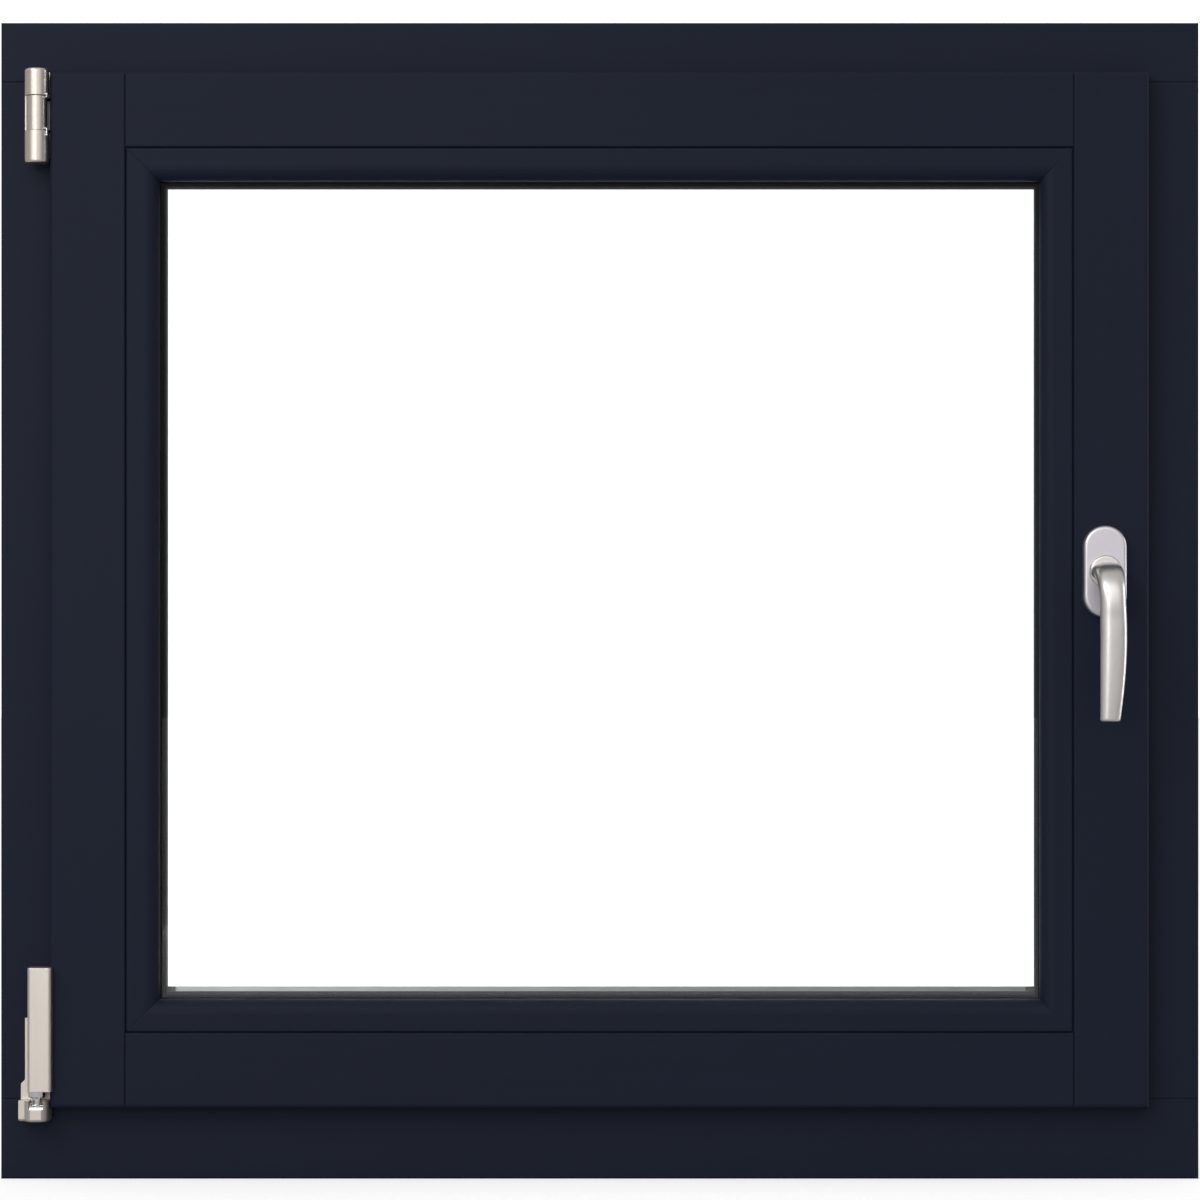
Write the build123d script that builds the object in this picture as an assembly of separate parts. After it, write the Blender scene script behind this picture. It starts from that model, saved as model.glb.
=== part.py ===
from build123d import *
import os
from math import acos, cos, hypot, pi, radians, sin, tan

# A tilt-and-turn casement window: a timber frame, one inward-opening sash hinged on the left, a
# triple-glazed unit, perimeter hardware and a lever handle. X runs to the right as seen from the
# room, Y runs from the room to the outside and Z is up. The origin is at the middle of the sill's
# underside, halfway through the frame's depth. All sizes are in millimetres.

# ---- timber frame
WIDTH = 865.0
HEIGHT = 835.0
FRAME_DEPTH = 68.0
FRAME_FACE = 43.0        # face of the head and jambs, up to the rebate
SILL_RISE = 15.0         # how much taller the sill's face is
REBATE_DEPTH = 27.0      # from the room face back to the seal step
STEP_HEIGHT = 15.0
STOP_HEIGHT = 20.0
STOP_THICKNESS = 14.0
SILL_SLOPE_DROP = 8.0    # fall of the weathered top of the sill
SILL_SLOPE_START = 6.0   # how far in front of the stop the weathering starts
FRAME_ARRIS = 1.5
JOINT_EASE = 0.6         # eased corner that shows as a fine line at each timber joint
NO_EASE = 0.001          # a corner left sharp where one timber is cut round another
TENON_LENGTH = 24.0
TENON_THICKNESS = 10.0
TENON_SHOULDER = 10.0

# ---- timber sash
SASH_THICKNESS = 68.0
SASH_WIDTH = 78.0        # from the lip's edge to the sight line
LIP_OVERLAP = 5.5        # how far the lip covers the frame
LIP_THICKNESS = 15.0
LIP_GAP = 3.0            # between the lip and the frame's room face
AIR_GAP = 12.0           # hardware space round the sash
STEP_GAP = 4.5
GLASS_REBATE = 23.5
SHOULDER_THICKNESS = 14.0
LIP_ARRIS = 3.0
BEAD_EASE = 1.0          # eased corners either side of the bead joint

# ---- glazing
PANE = 4.0
PANE_GAP = 12.0
PANE_CLEARANCE = 4.0     # round the glass unit, filled by the setting blocks
GASKET = 2.0
GASKET_INSET = 7.0
GASKET_SETBACK = 0.5     # how far the gaskets sit inside the sight line
SPACER_DEPTH = 7.0
SEALANT_DEPTH = 4.0
BEAD_FLAT = 13.5
BEAD_NOSE = 9.0          # depth of the bead's sloped inner face
BEAD_JOINT = 0.35
BLOCK_LENGTH = 80.0
BLOCK_INSET = 60.0

# ---- seals
SEAL_CLEARANCE = 0.4     # between a seal and the frame when shut
SEAL_STEM = 1.6
SEAL_STEM_DEPTH = 4.0
LIP_SEAL_WIDTH = 3.6
LIP_SEAL_INSET = 1.2
LIP_SEAL_TIP = (0.2, 0.8)      # where the bulb's flat tip starts and ends, as shares of its width
SEAL_BREAK = 3.0         # how far the lip seal stops short of a hinge strap
MIDDLE_SEAL_WIDTH = 5.0
MIDDLE_SEAL_INSET = 1.0
MIDDLE_SEAL_TIP = (0.2, 0.6)

# ---- outside aluminium profiles
SHEET = 2.0
RAIN_SKIRT = 4.0         # how far the rain rail stands outside the frame
RAIN_LIP = 6.0
RAIL_CAP = 3.0
DRIP_NOSE = 6.3          # how far the drip rail stands above the sight line
DRIP_SHOWN = 3.4         # how much of that shows above the gasket in front of it
DRIP_CAP = 7.0
DRIP_SEAT = 10.0         # how far the timber shoulder is cut down for it
DRIP_PROUD = 7.0
DRIP_DROP = 37.3
DRIP_BEVEL = 7.3
DRIP_THROAT = 9.3        # from the nose down to the rail's underside at the timber
DRIP_FOOT_RISE = 3.0
DRIP_EDGE = 2.5          # the turned-down outer edge
DRIP_EDGE_WALL = 1.5
DRIP_FOOT_WALL = 1.3
DRIP_NOSE_WALL = 5.8

# ---- hinge side
PIN_INSET = 28.2         # from the frame's outer edge to the hinge axis
PIN_STANDOFF = 16.0      # from the frame's room face to the hinge axis
PIN_RADIUS = 3.0         # the lower hinge pin
STAY_PIN_RADIUS = 5.0    # the upper hinge pin
PIN_SETBACK = 2.5        # from a cap's end to the upper pin's end
RUNNING = 0.05           # radial running clearance
BARREL_RADIUS = 8.8
BARREL_WALL = 1.0
KNUCKLE_RADIUS = 7.4     # a little slimmer than the caps above and below it
HINGE_PLATE = 3.0
HINGE_PLATE_INSET = 17.8
HINGE_PLATE_WIDTH = 18.2
STRAP = 2.4
STRAP_CLEARANCE = 0.3
HINGE_SCREW_SHIFT = 5.0
STAY_SCREW_INSETS = (10.0, 9.0)
BEARING_SCREW_DROPS = (32.0, 12.0)
STRAP_SCREW_INSET = 8.0
WEB = 4.0
STAY_TOP = 35.4          # from the frame's top to the top of the stay hinge
TOP_CAP = 19.4
KNUCKLE = 24.8
BOTTOM_CAP = 23.1
KNUCKLE_GAP = 0.4
CAP_END = 2.0
CAP_DOME = 1.9
LUG_LEFT = 6.0           # the lug's neck, either side of the hinge axis
LUG_RIGHT = 1.0
LUG_SINK = 0.5           # how far a neck runs into its plate
STAY_PLATE_CORNER = 2.0
STAY_PLATE_SETBACK = 5.0       # how far the plate stops short of the lower cap's end
CLIP_ARM = 0.6
CLIP_TIP = 1.1
CLIP_TURN = radians(38.0)      # from the plane of the window towards the room
CLIP_RISE = 2.0          # from the upper finger to its tip
CLIP_DROP = 4.8          # from the lower finger to its tip
CLIP_SINK = 0.4
STAY_WINDOW_INSET = 1.5
WEB_INSET = 2.0
ARM_REACH = 420.0        # from the hinge axis to the stay's guide stud
ARM_WIDTH = 16.0
ARM_THICKNESS = 3.0
ARM_LIFT = 3.0
ARM_WALL_OFFSET = 16.0   # from the hinge axis to the arm's upright wall
STUD_RADIUS = 3.0
STUD_DROP = 17.0
STUD_HEAD = 1.5
STUD_HEAD_PROUD = 2.0
GUIDE_LENGTH = 90.0
GUIDE_END = 25.0         # from the stud at rest to the guide's right end
GUIDE_SLOT = 10.5
GUIDE_DEPTH = 18.0
GUIDE_SLOT_INSET = 12.0
GUIDE_SCREW_INSET = 6.0

# ---- bottom corner hinge
TILT_DROP = 1.5          # tilt axis below the lip's lower edge
BEARING_BOTTOM = 43.0
BEARING_TOP = 58.0
BEARING_FRONT = 8.0      # flat front of the bearing, from the hinge axis
BEARING_RADIUS = 8.9
BEARING_SIDE = 13.4      # from the hinge axis to the block's left side
CHEEK_GAP = 5.3
EYE_WIDTH = 10.0
EYE_RADIUS = 5.0
AXLE_RADIUS = 2.5
AXLE_SETBACK = 1.5
BEARING_CORNER = 2.0
POCKET_PLAY = 0.6        # under the eye
POCKET_ROOM = 1.2        # in front of the eye and behind it
MOUTH_RISE = 1.0         # from the tilt axis up to the slot that the pin tilts through
COLLAR_RADIUS = 6.0
COLLAR_BOTTOM = 60.0
COLLAR_GAP = 0.2
COLLAR_CHAMFER = 0.8
SLEEVE_BOTTOM = 65.0
SLEEVE_TOP = 154.0
SLEEVE_RADIUS = 4.5
SLEEVE_CAP = 3.0
SLEEVE_END_GAP = 0.5
STRAP_BOTTOM = 120.0
STRAP_TOP = 150.0
FLANGE_SETBACK = 2.0
COVER_LEFT = 5.6
COVER_RIGHT = 11.6
COVER_FRONT = 10.2
COVER_WALL = 0.9
COVER_BACK = 1.5         # how far the cover runs behind the sleeve
COVER_SIDE_GAP = 0.4     # to the sash lip's edge
COVER_FRONT_GAP = 0.3    # to the sash lip's face
COVER_ROUND = 2.4
COVER_TOP_ROUND = 0.7
BEARING_PLATE_RISE = 1.0
BEARING_PLATE_TOP = 116.4
BEARING_WING = 3.0
BEARING_WING_TOP = 69.0

# ---- drive hardware
FACEPLATE_WIDTH = 16.0
FACEPLATE = 2.0
GROOVE_CENTRE = 24.0     # groove centre, in front of the frame's middle plane
ROD_WIDTH = 8.0
ROD_THICKNESS = 1.8
ROD_PLAY = 0.2
GROOVE_WIDTH = 8.8
GROOVE_DEPTH = 7.6
CORNER_LEG = 110.0
CORNER_BODY = 4.5
CORNER_SCREW_SHARE = 0.55
PLATE_SCREW_INSET = 7.0
ROD_INSET = 14.0         # from a faceplate's free end to the rod
ROD_END_GAP = 3.0
CAM_SHANK = 3.5
CAM_HEAD = 5.5
CAM_PROUD = 9.0
CAM_HEAD_THICKNESS = 3.0
SLOT_PLAY = 0.4
STRIKER = 1.4
STRIKER_WALL = 2.0
STRIKER_LENGTH = 84.0
STRIKER_TRIM = 1.0
STRIKER_SCREW_INSET = 6.0
RIB_INSET = 2.0
RIB_WIDTH = 3.0
RIB_SHORTER = 24.0
OVERCUT = 1.0            # how far a cutter runs past a face
LOWER_CAM_INSET = 80.0   # from a corner drive's free end to the cam nearest to it
UPPER_CAM_INSET = 70.0
TOP_CAM_INSET = 117.5
BOTTOM_CAM_INSET = 97.5
BOTTOM_PLATE_LENGTH = 417.5

# ---- handle and gearbox
HANDLE_HEIGHT = 438.0
MODULE = 1.25
TEETH = 15
PRESSURE_ANGLE = radians(20.0)
BACKLASH = 0.16
RACK_ADDENDUM = 0.8
RACK_DEDENDUM = 1.3
RACK_SPARE = 4           # teeth beyond the ones that the gear reaches, at each end
RACK_SINK = 0.3
DEDENDUM = 1.25
GEAR_WIDTH = 7.6
GEAR_HUB = 6.0
GEARBOX_WIDTH = 12.0
GEARBOX_HALF_HEIGHT = 40.0
GEARBOX_BACK = 3.375     # from the gear's teeth to the back of the case
GEARBOX_WALL = 1.6
GEARBOX_CLEARANCE = 0.2
RACK_ROOM = 0.575        # beyond the rack's teeth in the case
GEAR_POCKET_PLAY = 0.4
SPINDLE = 7.0
SPINDLE_HOLE = 6.5
SPINDLE_REACH = 28.0     # into the lever, from the sash face
ROSETTE_WIDTH = 31.0
ROSETTE_HEIGHT = 66.0
ROSETTE_DEPTH = 10.0
ROSETTE_WALL = 1.5
ROSETTE_BASE = 6.0
ROSETTE_ROUND = 2.6
ROSETTE_OPENING_PLAY = 0.3
ROSETTE_SCREW = 2.5
ROSETTE_SCREW_HEAD = 4.2
ROSETTE_SCREW_SEAT = 3.0
JOURNAL = 9.0
BOSS = 11.7
BOSS_HEIGHT = 4.0
BOSS_ROUND = 1.8
BOSS_GAP = 0.3
JOURNAL_GAP = 0.6
SCREW_SPACING = 43.0
GRIP_STANDOFF = 46.0     # from the sash face to the middle of the grip
ELBOW = 20.0             # radius of the neck's bend
ELBOW_SHIFT = 1.9        # how far the grip leans towards the frame side
NECK_WIDTH = 21.0        # at the boss
NECK_THICKNESS = 12.8
GRIP_WIDTH = 18.4
GRIP_THICKNESS = 12.6
GRIP_LENGTH = 105.4      # from the handle axis down to the start of the rounded tip
GRIP_RETURN = 2.4        # how far the tip comes back towards the sash
TIP_WIDTH = 14.4
TIP_THICKNESS = 9.0
TIP_ROUND = 1.8
GRIP_SWELL = 1.2         # how much wider the grip is at its middle
GRIP_DRIFT = 0.8         # how far its middle leans out
GRIP_RETREAT = 1.6       # how far its tip leans back
GRIP_SQUARENESS = 0.87   # 1 is an ellipse, 0 a rectangle

# ---- fasteners and fixings
SCREW = 2.0
SCREW_HEAD = 3.7
SCREW_LENGTH = 25.0
FIXING_HOLE = 3.25
FIXING_DEPTH = 14.0      # from the room face to the fixing holes
FIXING_INSET = 200.0     # from the foot of the frame
UPPER_FIXING_INSET = 195.0

# ---- places worked out from the sizes above
SIDES = ("left", "right", "bottom", "top")
FAR = 200.0
Y_ROOM = -FRAME_DEPTH / 2
Y_OUT = FRAME_DEPTH / 2
Y_STEP = Y_ROOM + REBATE_DEPTH
Y_STOP = Y_OUT - STOP_THICKNESS
FRAME_RIM = (-WIDTH / 2, WIDTH / 2, 0.0, HEIGHT)
SILL_FACE = FRAME_FACE + SILL_RISE

LIP_INSET = FRAME_FACE - LIP_OVERLAP
SASH_RIM = (-WIDTH / 2 + LIP_INSET, WIDTH / 2 - LIP_INSET, SILL_FACE - LIP_OVERLAP, HEIGHT - LIP_INSET)
Y_LIP_BACK = Y_ROOM - LIP_GAP
Y_FRONT = Y_LIP_BACK - LIP_THICKNESS
Y_SASH_STEP = Y_STEP - LIP_GAP
Y_BACK = Y_FRONT + SASH_THICKNESS
HARDWARE_EDGE = LIP_OVERLAP + AIR_GAP
OUTER_EDGE = LIP_OVERLAP + STEP_HEIGHT + STEP_GAP
REBATE_EDGE = SASH_WIDTH - GLASS_REBATE
Y_SHOULDER = Y_BACK - SHOULDER_THICKNESS
Y_GLASS_OUT = Y_SHOULDER - GASKET
Y_GLASS_IN = Y_GLASS_OUT - 3 * PANE - 2 * PANE_GAP
Y_BEAD_BACK = Y_GLASS_IN - GASKET
GLASS_EDGE = REBATE_EDGE + PANE_CLEARANCE

X_PIN = -WIDTH / 2 + PIN_INSET
Y_PIN = Y_ROOM - PIN_STANDOFF
Z_TILT = SASH_RIM[2] - TILT_DROP
Z_CAP_TOP = HEIGHT - STAY_TOP
Z_KNUCKLE_TOP = Z_CAP_TOP - TOP_CAP - KNUCKLE_GAP
Z_KNUCKLE_BOTTOM = Z_KNUCKLE_TOP - KNUCKLE
Z_CAP_BOTTOM = Z_KNUCKLE_BOTTOM - KNUCKLE_GAP - BOTTOM_CAP

Y_GROOVE = -GROOVE_CENTRE
X_HARDWARE = SASH_RIM[1] - HARDWARE_EDGE
Z_HARDWARE_TOP = SASH_RIM[3] - HARDWARE_EDGE
Z_HARDWARE_BOTTOM = SASH_RIM[2] + HARDWARE_EDGE
PITCH_RADIUS = MODULE * TEETH / 2
TRAVEL = PITCH_RADIUS * pi
BACKSET = FACEPLATE + ROD_PLAY + ROD_THICKNESS + RACK_DEDENDUM * MODULE + PITCH_RADIUS
GEARBOX_DEPTH = BACKSET - FACEPLATE + PITCH_RADIUS + MODULE + GEARBOX_BACK
CHANNEL_ROOM = (RACK_DEDENDUM + RACK_ADDENDUM) * MODULE + RACK_ROOM
X_HANDLE = X_HARDWARE - BACKSET
X_CORNER = X_HARDWARE - CORNER_LEG
Z_CORNER_LOW = Z_HARDWARE_BOTTOM + CORNER_LEG
Z_CORNER_HIGH = Z_HARDWARE_TOP - CORNER_LEG
RIGHT_CAMS = (Z_CORNER_LOW + LOWER_CAM_INSET, Z_CORNER_HIGH - UPPER_CAM_INSET)
TOP_CAM = X_CORNER - TOP_CAM_INSET
BOTTOM_CAM = X_CORNER - BOTTOM_CAM_INSET
TOP_PLATE_START = X_PIN + ARM_REACH + GUIDE_END
BOTTOM_PLATE_START = X_CORNER - BOTTOM_PLATE_LENGTH
FIXING_HEIGHTS = (FIXING_INSET, HEIGHT - UPPER_FIXING_INSET)
Y_ROSETTE = Y_FRONT - ROSETTE_DEPTH


# ---- shared shapes
def block(x, y, z):
    """A box between pairs of limits."""
    size = [max(pair) - min(pair) for pair in (x, y, z)]
    middle = [sum(pair) / 2 for pair in (x, y, z)]
    return Pos(*middle) * Box(*size)


def rod(radius, start, end):
    """A round bar between two points."""
    along = Vector(*end) - Vector(*start)
    return extrude(Plane(origin=start, z_dir=along) * Circle(radius), amount=along.length)


def handle_rod(radius, y_from, y_to):
    """A round bar along the handle's axis."""
    return rod(radius, (X_HANDLE, y_from, HANDLE_HEIGHT), (X_HANDLE, y_to, HANDLE_HEIGHT))


def hinge_rod(radius, z_from, z_to):
    """A round bar along the hinge axis."""
    return rod(radius, (X_PIN, Y_PIN, z_from), (X_PIN, Y_PIN, z_to))


def prism(points, along):
    """A closed outline of points in space, extruded along a vector."""
    along = Vector(*along)
    return extrude(make_face(Polyline(*points, close=True)), amount=along.length, dir=along.normalized())


def across(side, offset, rim):
    """The X or Z coordinate at an offset inwards from one side of a rim."""
    left, right, bottom, top = rim
    places = {"left": left + offset, "right": right - offset, "bottom": bottom + offset, "top": top - offset}
    return places[side]


def bar(side, outline, start, end, rim):
    """A straight bar along one side. Its outline holds pairs of offset from the rim and depth."""
    if side in ("left", "right"):
        points = [(across(side, offset, rim), depth, start) for offset, depth in outline]
        return prism(points, (0, 0, end - start))
    points = [(start, depth, across(side, offset, rim)) for offset, depth in outline]
    return prism(points, (end - start, 0, 0))


def mitre(side, near, far, rim):
    """The wedge that trims a bar on one side to its mitred ends."""
    ends = [("left", "bottom"), ("left", "top"), ("right", "bottom"), ("right", "top")]
    first, last = [pair for pair in ends if side in pair]
    corners = [(first, near), (first, far), (last, far), (last, near)]
    points = [(across(x, offset, rim), -FAR, across(z, offset, rim)) for (x, z), offset in corners]
    return prism(points, (0, 2 * FAR, 0))


def rectangle(near, far, y_near, y_far):
    """A rectangular section for a bar or a ring."""
    return [(near, y_near), (far, y_near), (far, y_far), (near, y_far)]


def ring(outline, rim):
    """Four bars of one outline, mitred at the corners of a rim, by side."""
    offsets = [offset for offset, depth in outline]
    near, far = min(offsets), max(offsets)
    strips = {}
    for side in SIDES:
        low, high = (rim[2], rim[3]) if side in ("left", "right") else (rim[0], rim[1])
        whole = bar(side, outline, low + near, high - near, rim)
        strips[side] = whole & mitre(side, near, far, rim)
    return strips


def slab(offset, y, rim):
    """A plate that fills a rim, inset by an offset."""
    return block((rim[0] + offset, rim[1] - offset), y, (rim[2] + offset, rim[3] - offset))


def countersunk(head, direction, length=SCREW_LENGTH):
    """A countersunk wood screw whose flat head is at a point."""
    head, direction = Vector(*head), Vector(*direction)
    seat = extrude(Plane(origin=head, z_dir=direction) * Circle(SCREW_HEAD),
                   amount=SCREW_HEAD - SCREW, taper=45)
    return seat + rod(SCREW, head, head + direction * length)


def stadium(x, z, y, width, height, depth):
    """A flat stadium standing in front of a plane y, towards the room."""
    outline = Plane(origin=(x, y, z), x_dir=(0, 0, 1), z_dir=(0, -1, 0)) * SlotOverall(height, width)
    return extrude(outline, amount=depth)


def cut(body, *tools):
    """A body less some tools."""
    for tool in tools:
        body = body - tool
    return body


def save(node, *shapes):
    """Writes one node's solids as a STEP file."""
    solids = [solid for shape in shapes for solid in shape.solids()]
    export_step(solids[0] if len(solids) == 1 else Compound(solids), "parts/" + node + ".step")


# ---- screws that are also the cutters of their own holes
def hinge_screws():
    """Screws through the two frame hinge plates."""
    y = Y_ROOM - HINGE_PLATE
    heights = (Z_CAP_BOTTOM + STAY_SCREW_INSETS[0], Z_CAP_TOP - STAY_SCREW_INSETS[1])
    high = [countersunk((X_PIN + HINGE_SCREW_SHIFT, y, z), (0, 1, 0)) for z in heights]
    low = [countersunk((X_PIN, y, BEARING_PLATE_TOP - drop), (0, 1, 0)) for drop in BEARING_SCREW_DROPS]
    return high + low


def strap_screws():
    """Screws that hold the lower hinge strap to the sash's left edge."""
    x = SASH_RIM[0] + HARDWARE_EDGE - STRAP
    heights = (STRAP_BOTTOM + STRAP_SCREW_INSET, STRAP_TOP - STRAP_SCREW_INSET)
    return [countersunk((x, Y_GROOVE, z), (1, 0, 0)) for z in heights]


def hardware_screws():
    """Screws of the faceplates, corner drives and stay guide in the sash edge."""
    reach = CORNER_LEG * CORNER_SCREW_SHARE
    screws = []
    for z, way in ((Z_HARDWARE_TOP, -1), (Z_HARDWARE_BOTTOM, 1)):
        screws.append(countersunk((X_HARDWARE, Y_GROOVE, z + way * reach), (-1, 0, 0)))
        screws.append(countersunk((X_HARDWARE - reach, Y_GROOVE, z), (0, 0, way)))
    screws.append(countersunk((TOP_PLATE_START + PLATE_SCREW_INSET, Y_GROOVE, Z_HARDWARE_TOP), (0, 0, -1)))
    x = BOTTOM_PLATE_START + PLATE_SCREW_INSET
    screws.append(countersunk((x, Y_GROOVE, Z_HARDWARE_BOTTOM), (0, 0, 1)))
    for x in guide_ends():
        screws.append(countersunk((x, Y_GROOVE, Z_HARDWARE_TOP), (0, 0, -1)))
    return screws


def striker_places():
    """Each striker's cam position, as a side and a place along it."""
    upright = [("right", z) for z in RIGHT_CAMS]
    return upright + [("top", TOP_CAM)]


def striker_frame(side, place):
    """A plane on the frame's rebate at a cam, X along the side and Z into the air gap."""
    sill = SILL_RISE if side == "bottom" else 0.0
    level = across(side, FRAME_FACE + sill, FRAME_RIM)
    if side == "right":
        return Plane(origin=(level, Y_GROOVE, place), x_dir=(0, 0, 1), z_dir=(-1, 0, 0))
    way = -1 if side == "top" else 1
    return Plane(origin=(place, Y_GROOVE, level), x_dir=(1, 0, 0), z_dir=(0, 0, way))


def striker(side, place, travel_way):
    """A striker plate with a low keeper rib on its room side."""
    middle = travel_way * TRAVEL / 2
    plane = striker_frame(side, place)
    width = 2 * (Y_GROOVE - Y_ROOM) - STRIKER_TRIM
    plate = Pos(middle, 0, STRIKER / 2) * Box(STRIKER_LENGTH, width, STRIKER)
    room = 1 if plane.y_dir.Y < 0 else -1
    rib_y = room * (Y_GROOVE - Y_ROOM - RIB_INSET)
    rib = Pos(middle, rib_y, STRIKER_WALL / 2) * Box(STRIKER_LENGTH - RIB_SHORTER, RIB_WIDTH, STRIKER_WALL)
    return plane * (plate + rib)


def striker_screws(side, place, travel_way):
    """The two screws of one striker."""
    plane = striker_frame(side, place)
    found = []
    for end in (-1, 1):
        along = travel_way * TRAVEL / 2 + end * (STRIKER_LENGTH / 2 - STRIKER_SCREW_INSET)
        head = plane.from_local_coords(Vector(along, 0, STRIKER))
        found.append(countersunk(head, plane.z_dir * -1))
    return found


def all_strikers():
    """Strikers and their screws: turn strikers on the jamb and head, the tilt striker on the sill."""
    lock, screws = [], []
    for side, place in striker_places():
        way = -1 if side == "right" else 1
        lock.append(striker(side, place, way))
        screws += striker_screws(side, place, way)
    tilt = striker("bottom", BOTTOM_CAM, -1)
    screws += striker_screws("bottom", BOTTOM_CAM, -1)
    return lock, tilt, screws


# ---- timber frame
def frame_outline(face, ease):
    """Section of the head and jambs, as offsets from the frame's outer edge and depths."""
    return [(0, Y_ROOM), (face - ease, Y_ROOM), (face, Y_ROOM + ease), (face, Y_STEP),
            (face + STEP_HEIGHT, Y_STEP), (face + STEP_HEIGHT, Y_STOP),
            (face + STEP_HEIGHT + STOP_HEIGHT, Y_STOP), (face + STEP_HEIGHT + STOP_HEIGHT, Y_OUT),
            (0, Y_OUT)]


def sill_outline(ease):
    """Section of the sill, whose top falls to the outside."""
    top = SILL_FACE + STEP_HEIGHT
    start = Y_STOP - SILL_SLOPE_START
    return [(0, Y_ROOM), (SILL_FACE - ease, Y_ROOM), (SILL_FACE, Y_ROOM + ease), (SILL_FACE, Y_STEP),
            (top, Y_STEP), (top, start), (slope_height(start), start), (slope_height(Y_OUT), Y_OUT),
            (0, Y_OUT)]


def slope_height(y):
    """Height of the sill's weathered top at a depth."""
    start = Y_STOP - SILL_SLOPE_START
    return SILL_FACE + STEP_HEIGHT - SILL_SLOPE_START - SILL_SLOPE_DROP * (y - start) / (Y_OUT - start)


def soften_front(body, radius):
    """Rounds the four outer edges of a block's room face."""
    return fillet(body.faces().sort_by(Axis.Y)[0].edges(), radius)


def tenon(x, z):
    """A tenon block, centred in the timber behind the seal step."""
    middle = (Y_STEP + Y_STOP - SILL_SLOPE_START) / 2
    return block(x, (middle - TENON_THICKNESS / 2, middle + TENON_THICKNESS / 2), z)


def build_frame(cutters):
    """Head and sill right across, jambs tenoned in between them."""
    envelope = soften_front(slab(0, (Y_ROOM, Y_OUT), FRAME_RIM), FRAME_ARRIS)
    left, right, bottom, top = FRAME_RIM
    head_raw = bar("top", frame_outline(FRAME_FACE, NO_EASE), left, right, FRAME_RIM)
    sill_raw = bar("bottom", sill_outline(NO_EASE), left, right, FRAME_RIM)
    head = bar("top", frame_outline(FRAME_FACE, JOINT_EASE), left, right, FRAME_RIM) & envelope
    sill = bar("bottom", sill_outline(JOINT_EASE), left, right, FRAME_RIM) & envelope
    z_head = top - FRAME_FACE - STEP_HEIGHT
    z_sill = SILL_FACE + STEP_HEIGHT
    jambs = {}
    for side in ("left", "right"):
        x = sorted(across(side, offset, FRAME_RIM) for offset in (TENON_SHOULDER, FRAME_FACE))
        upper = tenon(x, (z_head, z_head + TENON_LENGTH))
        lower = tenon(x, (z_sill - TENON_LENGTH, z_sill))
        column = bar(side, frame_outline(FRAME_FACE, NO_EASE), bottom, top, FRAME_RIM) & envelope
        jamb = cut(column, head_raw, sill_raw) + upper + lower
        outer, inner = across(side, 0, FRAME_RIM), across(side, FRAME_FACE, FRAME_RIM)
        holes = [rod(FIXING_HOLE, (outer, Y_ROOM + FIXING_DEPTH, z), (inner, Y_ROOM + FIXING_DEPTH, z))
                 for z in FIXING_HEIGHTS]
        jambs[side] = cut(jamb, *holes, *cutters)
        head, sill = head - upper, sill - lower
    save("frame_head", cut(head, *cutters))
    save("frame_sill", cut(sill, *cutters))
    save("frame_jamb_left", jambs["left"])
    save("frame_jamb_right", jambs["right"])


def build_rain_rail():
    """The aluminium rain rail on the sill, which stands in for the timber stop there."""
    top = SILL_FACE + STEP_HEIGHT + STOP_HEIGHT
    thick = SHEET * hypot(1.0, SILL_SLOPE_DROP / (Y_OUT - Y_STOP + SILL_SLOPE_START))
    end = Y_OUT + RAIN_SKIRT
    outline = [(top, Y_STOP), (top, Y_STOP + 2 * SHEET), (top - SHEET, Y_STOP + 2 * SHEET),
               (top - SHEET, Y_STOP + SHEET), (slope_height(Y_STOP + SHEET) + thick, Y_STOP + SHEET),
               (slope_height(end) + thick, end), (slope_height(end) - RAIN_LIP, end),
               (slope_height(end) - RAIN_LIP, end - SHEET), (slope_height(end - SHEET), end - SHEET),
               (slope_height(Y_STOP), Y_STOP)]
    edge = FRAME_FACE + STEP_HEIGHT + STOP_HEIGHT
    low, high = FRAME_RIM[0] + edge, FRAME_RIM[1] - edge
    save("sill_rain_rail", bar("bottom", outline, low + RAIL_CAP, high - RAIL_CAP, FRAME_RIM))
    closed = [(top, Y_STOP), (top, Y_STOP + 2 * SHEET), (slope_height(end) + thick, end),
              (slope_height(end), end), (slope_height(Y_STOP), Y_STOP)]
    caps = [bar("bottom", closed, low, low + RAIL_CAP, FRAME_RIM),
            bar("bottom", closed, high - RAIL_CAP, high, FRAME_RIM)]
    save("rain_rail_end_caps", *caps)


# ---- timber sash
def sash_outline(ease):
    """Section of a sash member in front of its stepped edge, with the glass rebate."""
    return [(0, Y_FRONT), (REBATE_EDGE - ease, Y_FRONT), (REBATE_EDGE, Y_FRONT + ease),
            (REBATE_EDGE, Y_SHOULDER), (SASH_WIDTH, Y_SHOULDER), (SASH_WIDTH, Y_BACK), (0, Y_BACK)]


def sash_envelope():
    """The closed sash as one stepped block, with its lip's front edges rounded."""
    lip = soften_front(slab(0, (Y_FRONT, Y_LIP_BACK), SASH_RIM), LIP_ARRIS)
    middle = slab(HARDWARE_EDGE, (Y_LIP_BACK, Y_SASH_STEP), SASH_RIM)
    return lip + middle + slab(OUTER_EDGE, (Y_SASH_STEP, Y_BACK), SASH_RIM)


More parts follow.
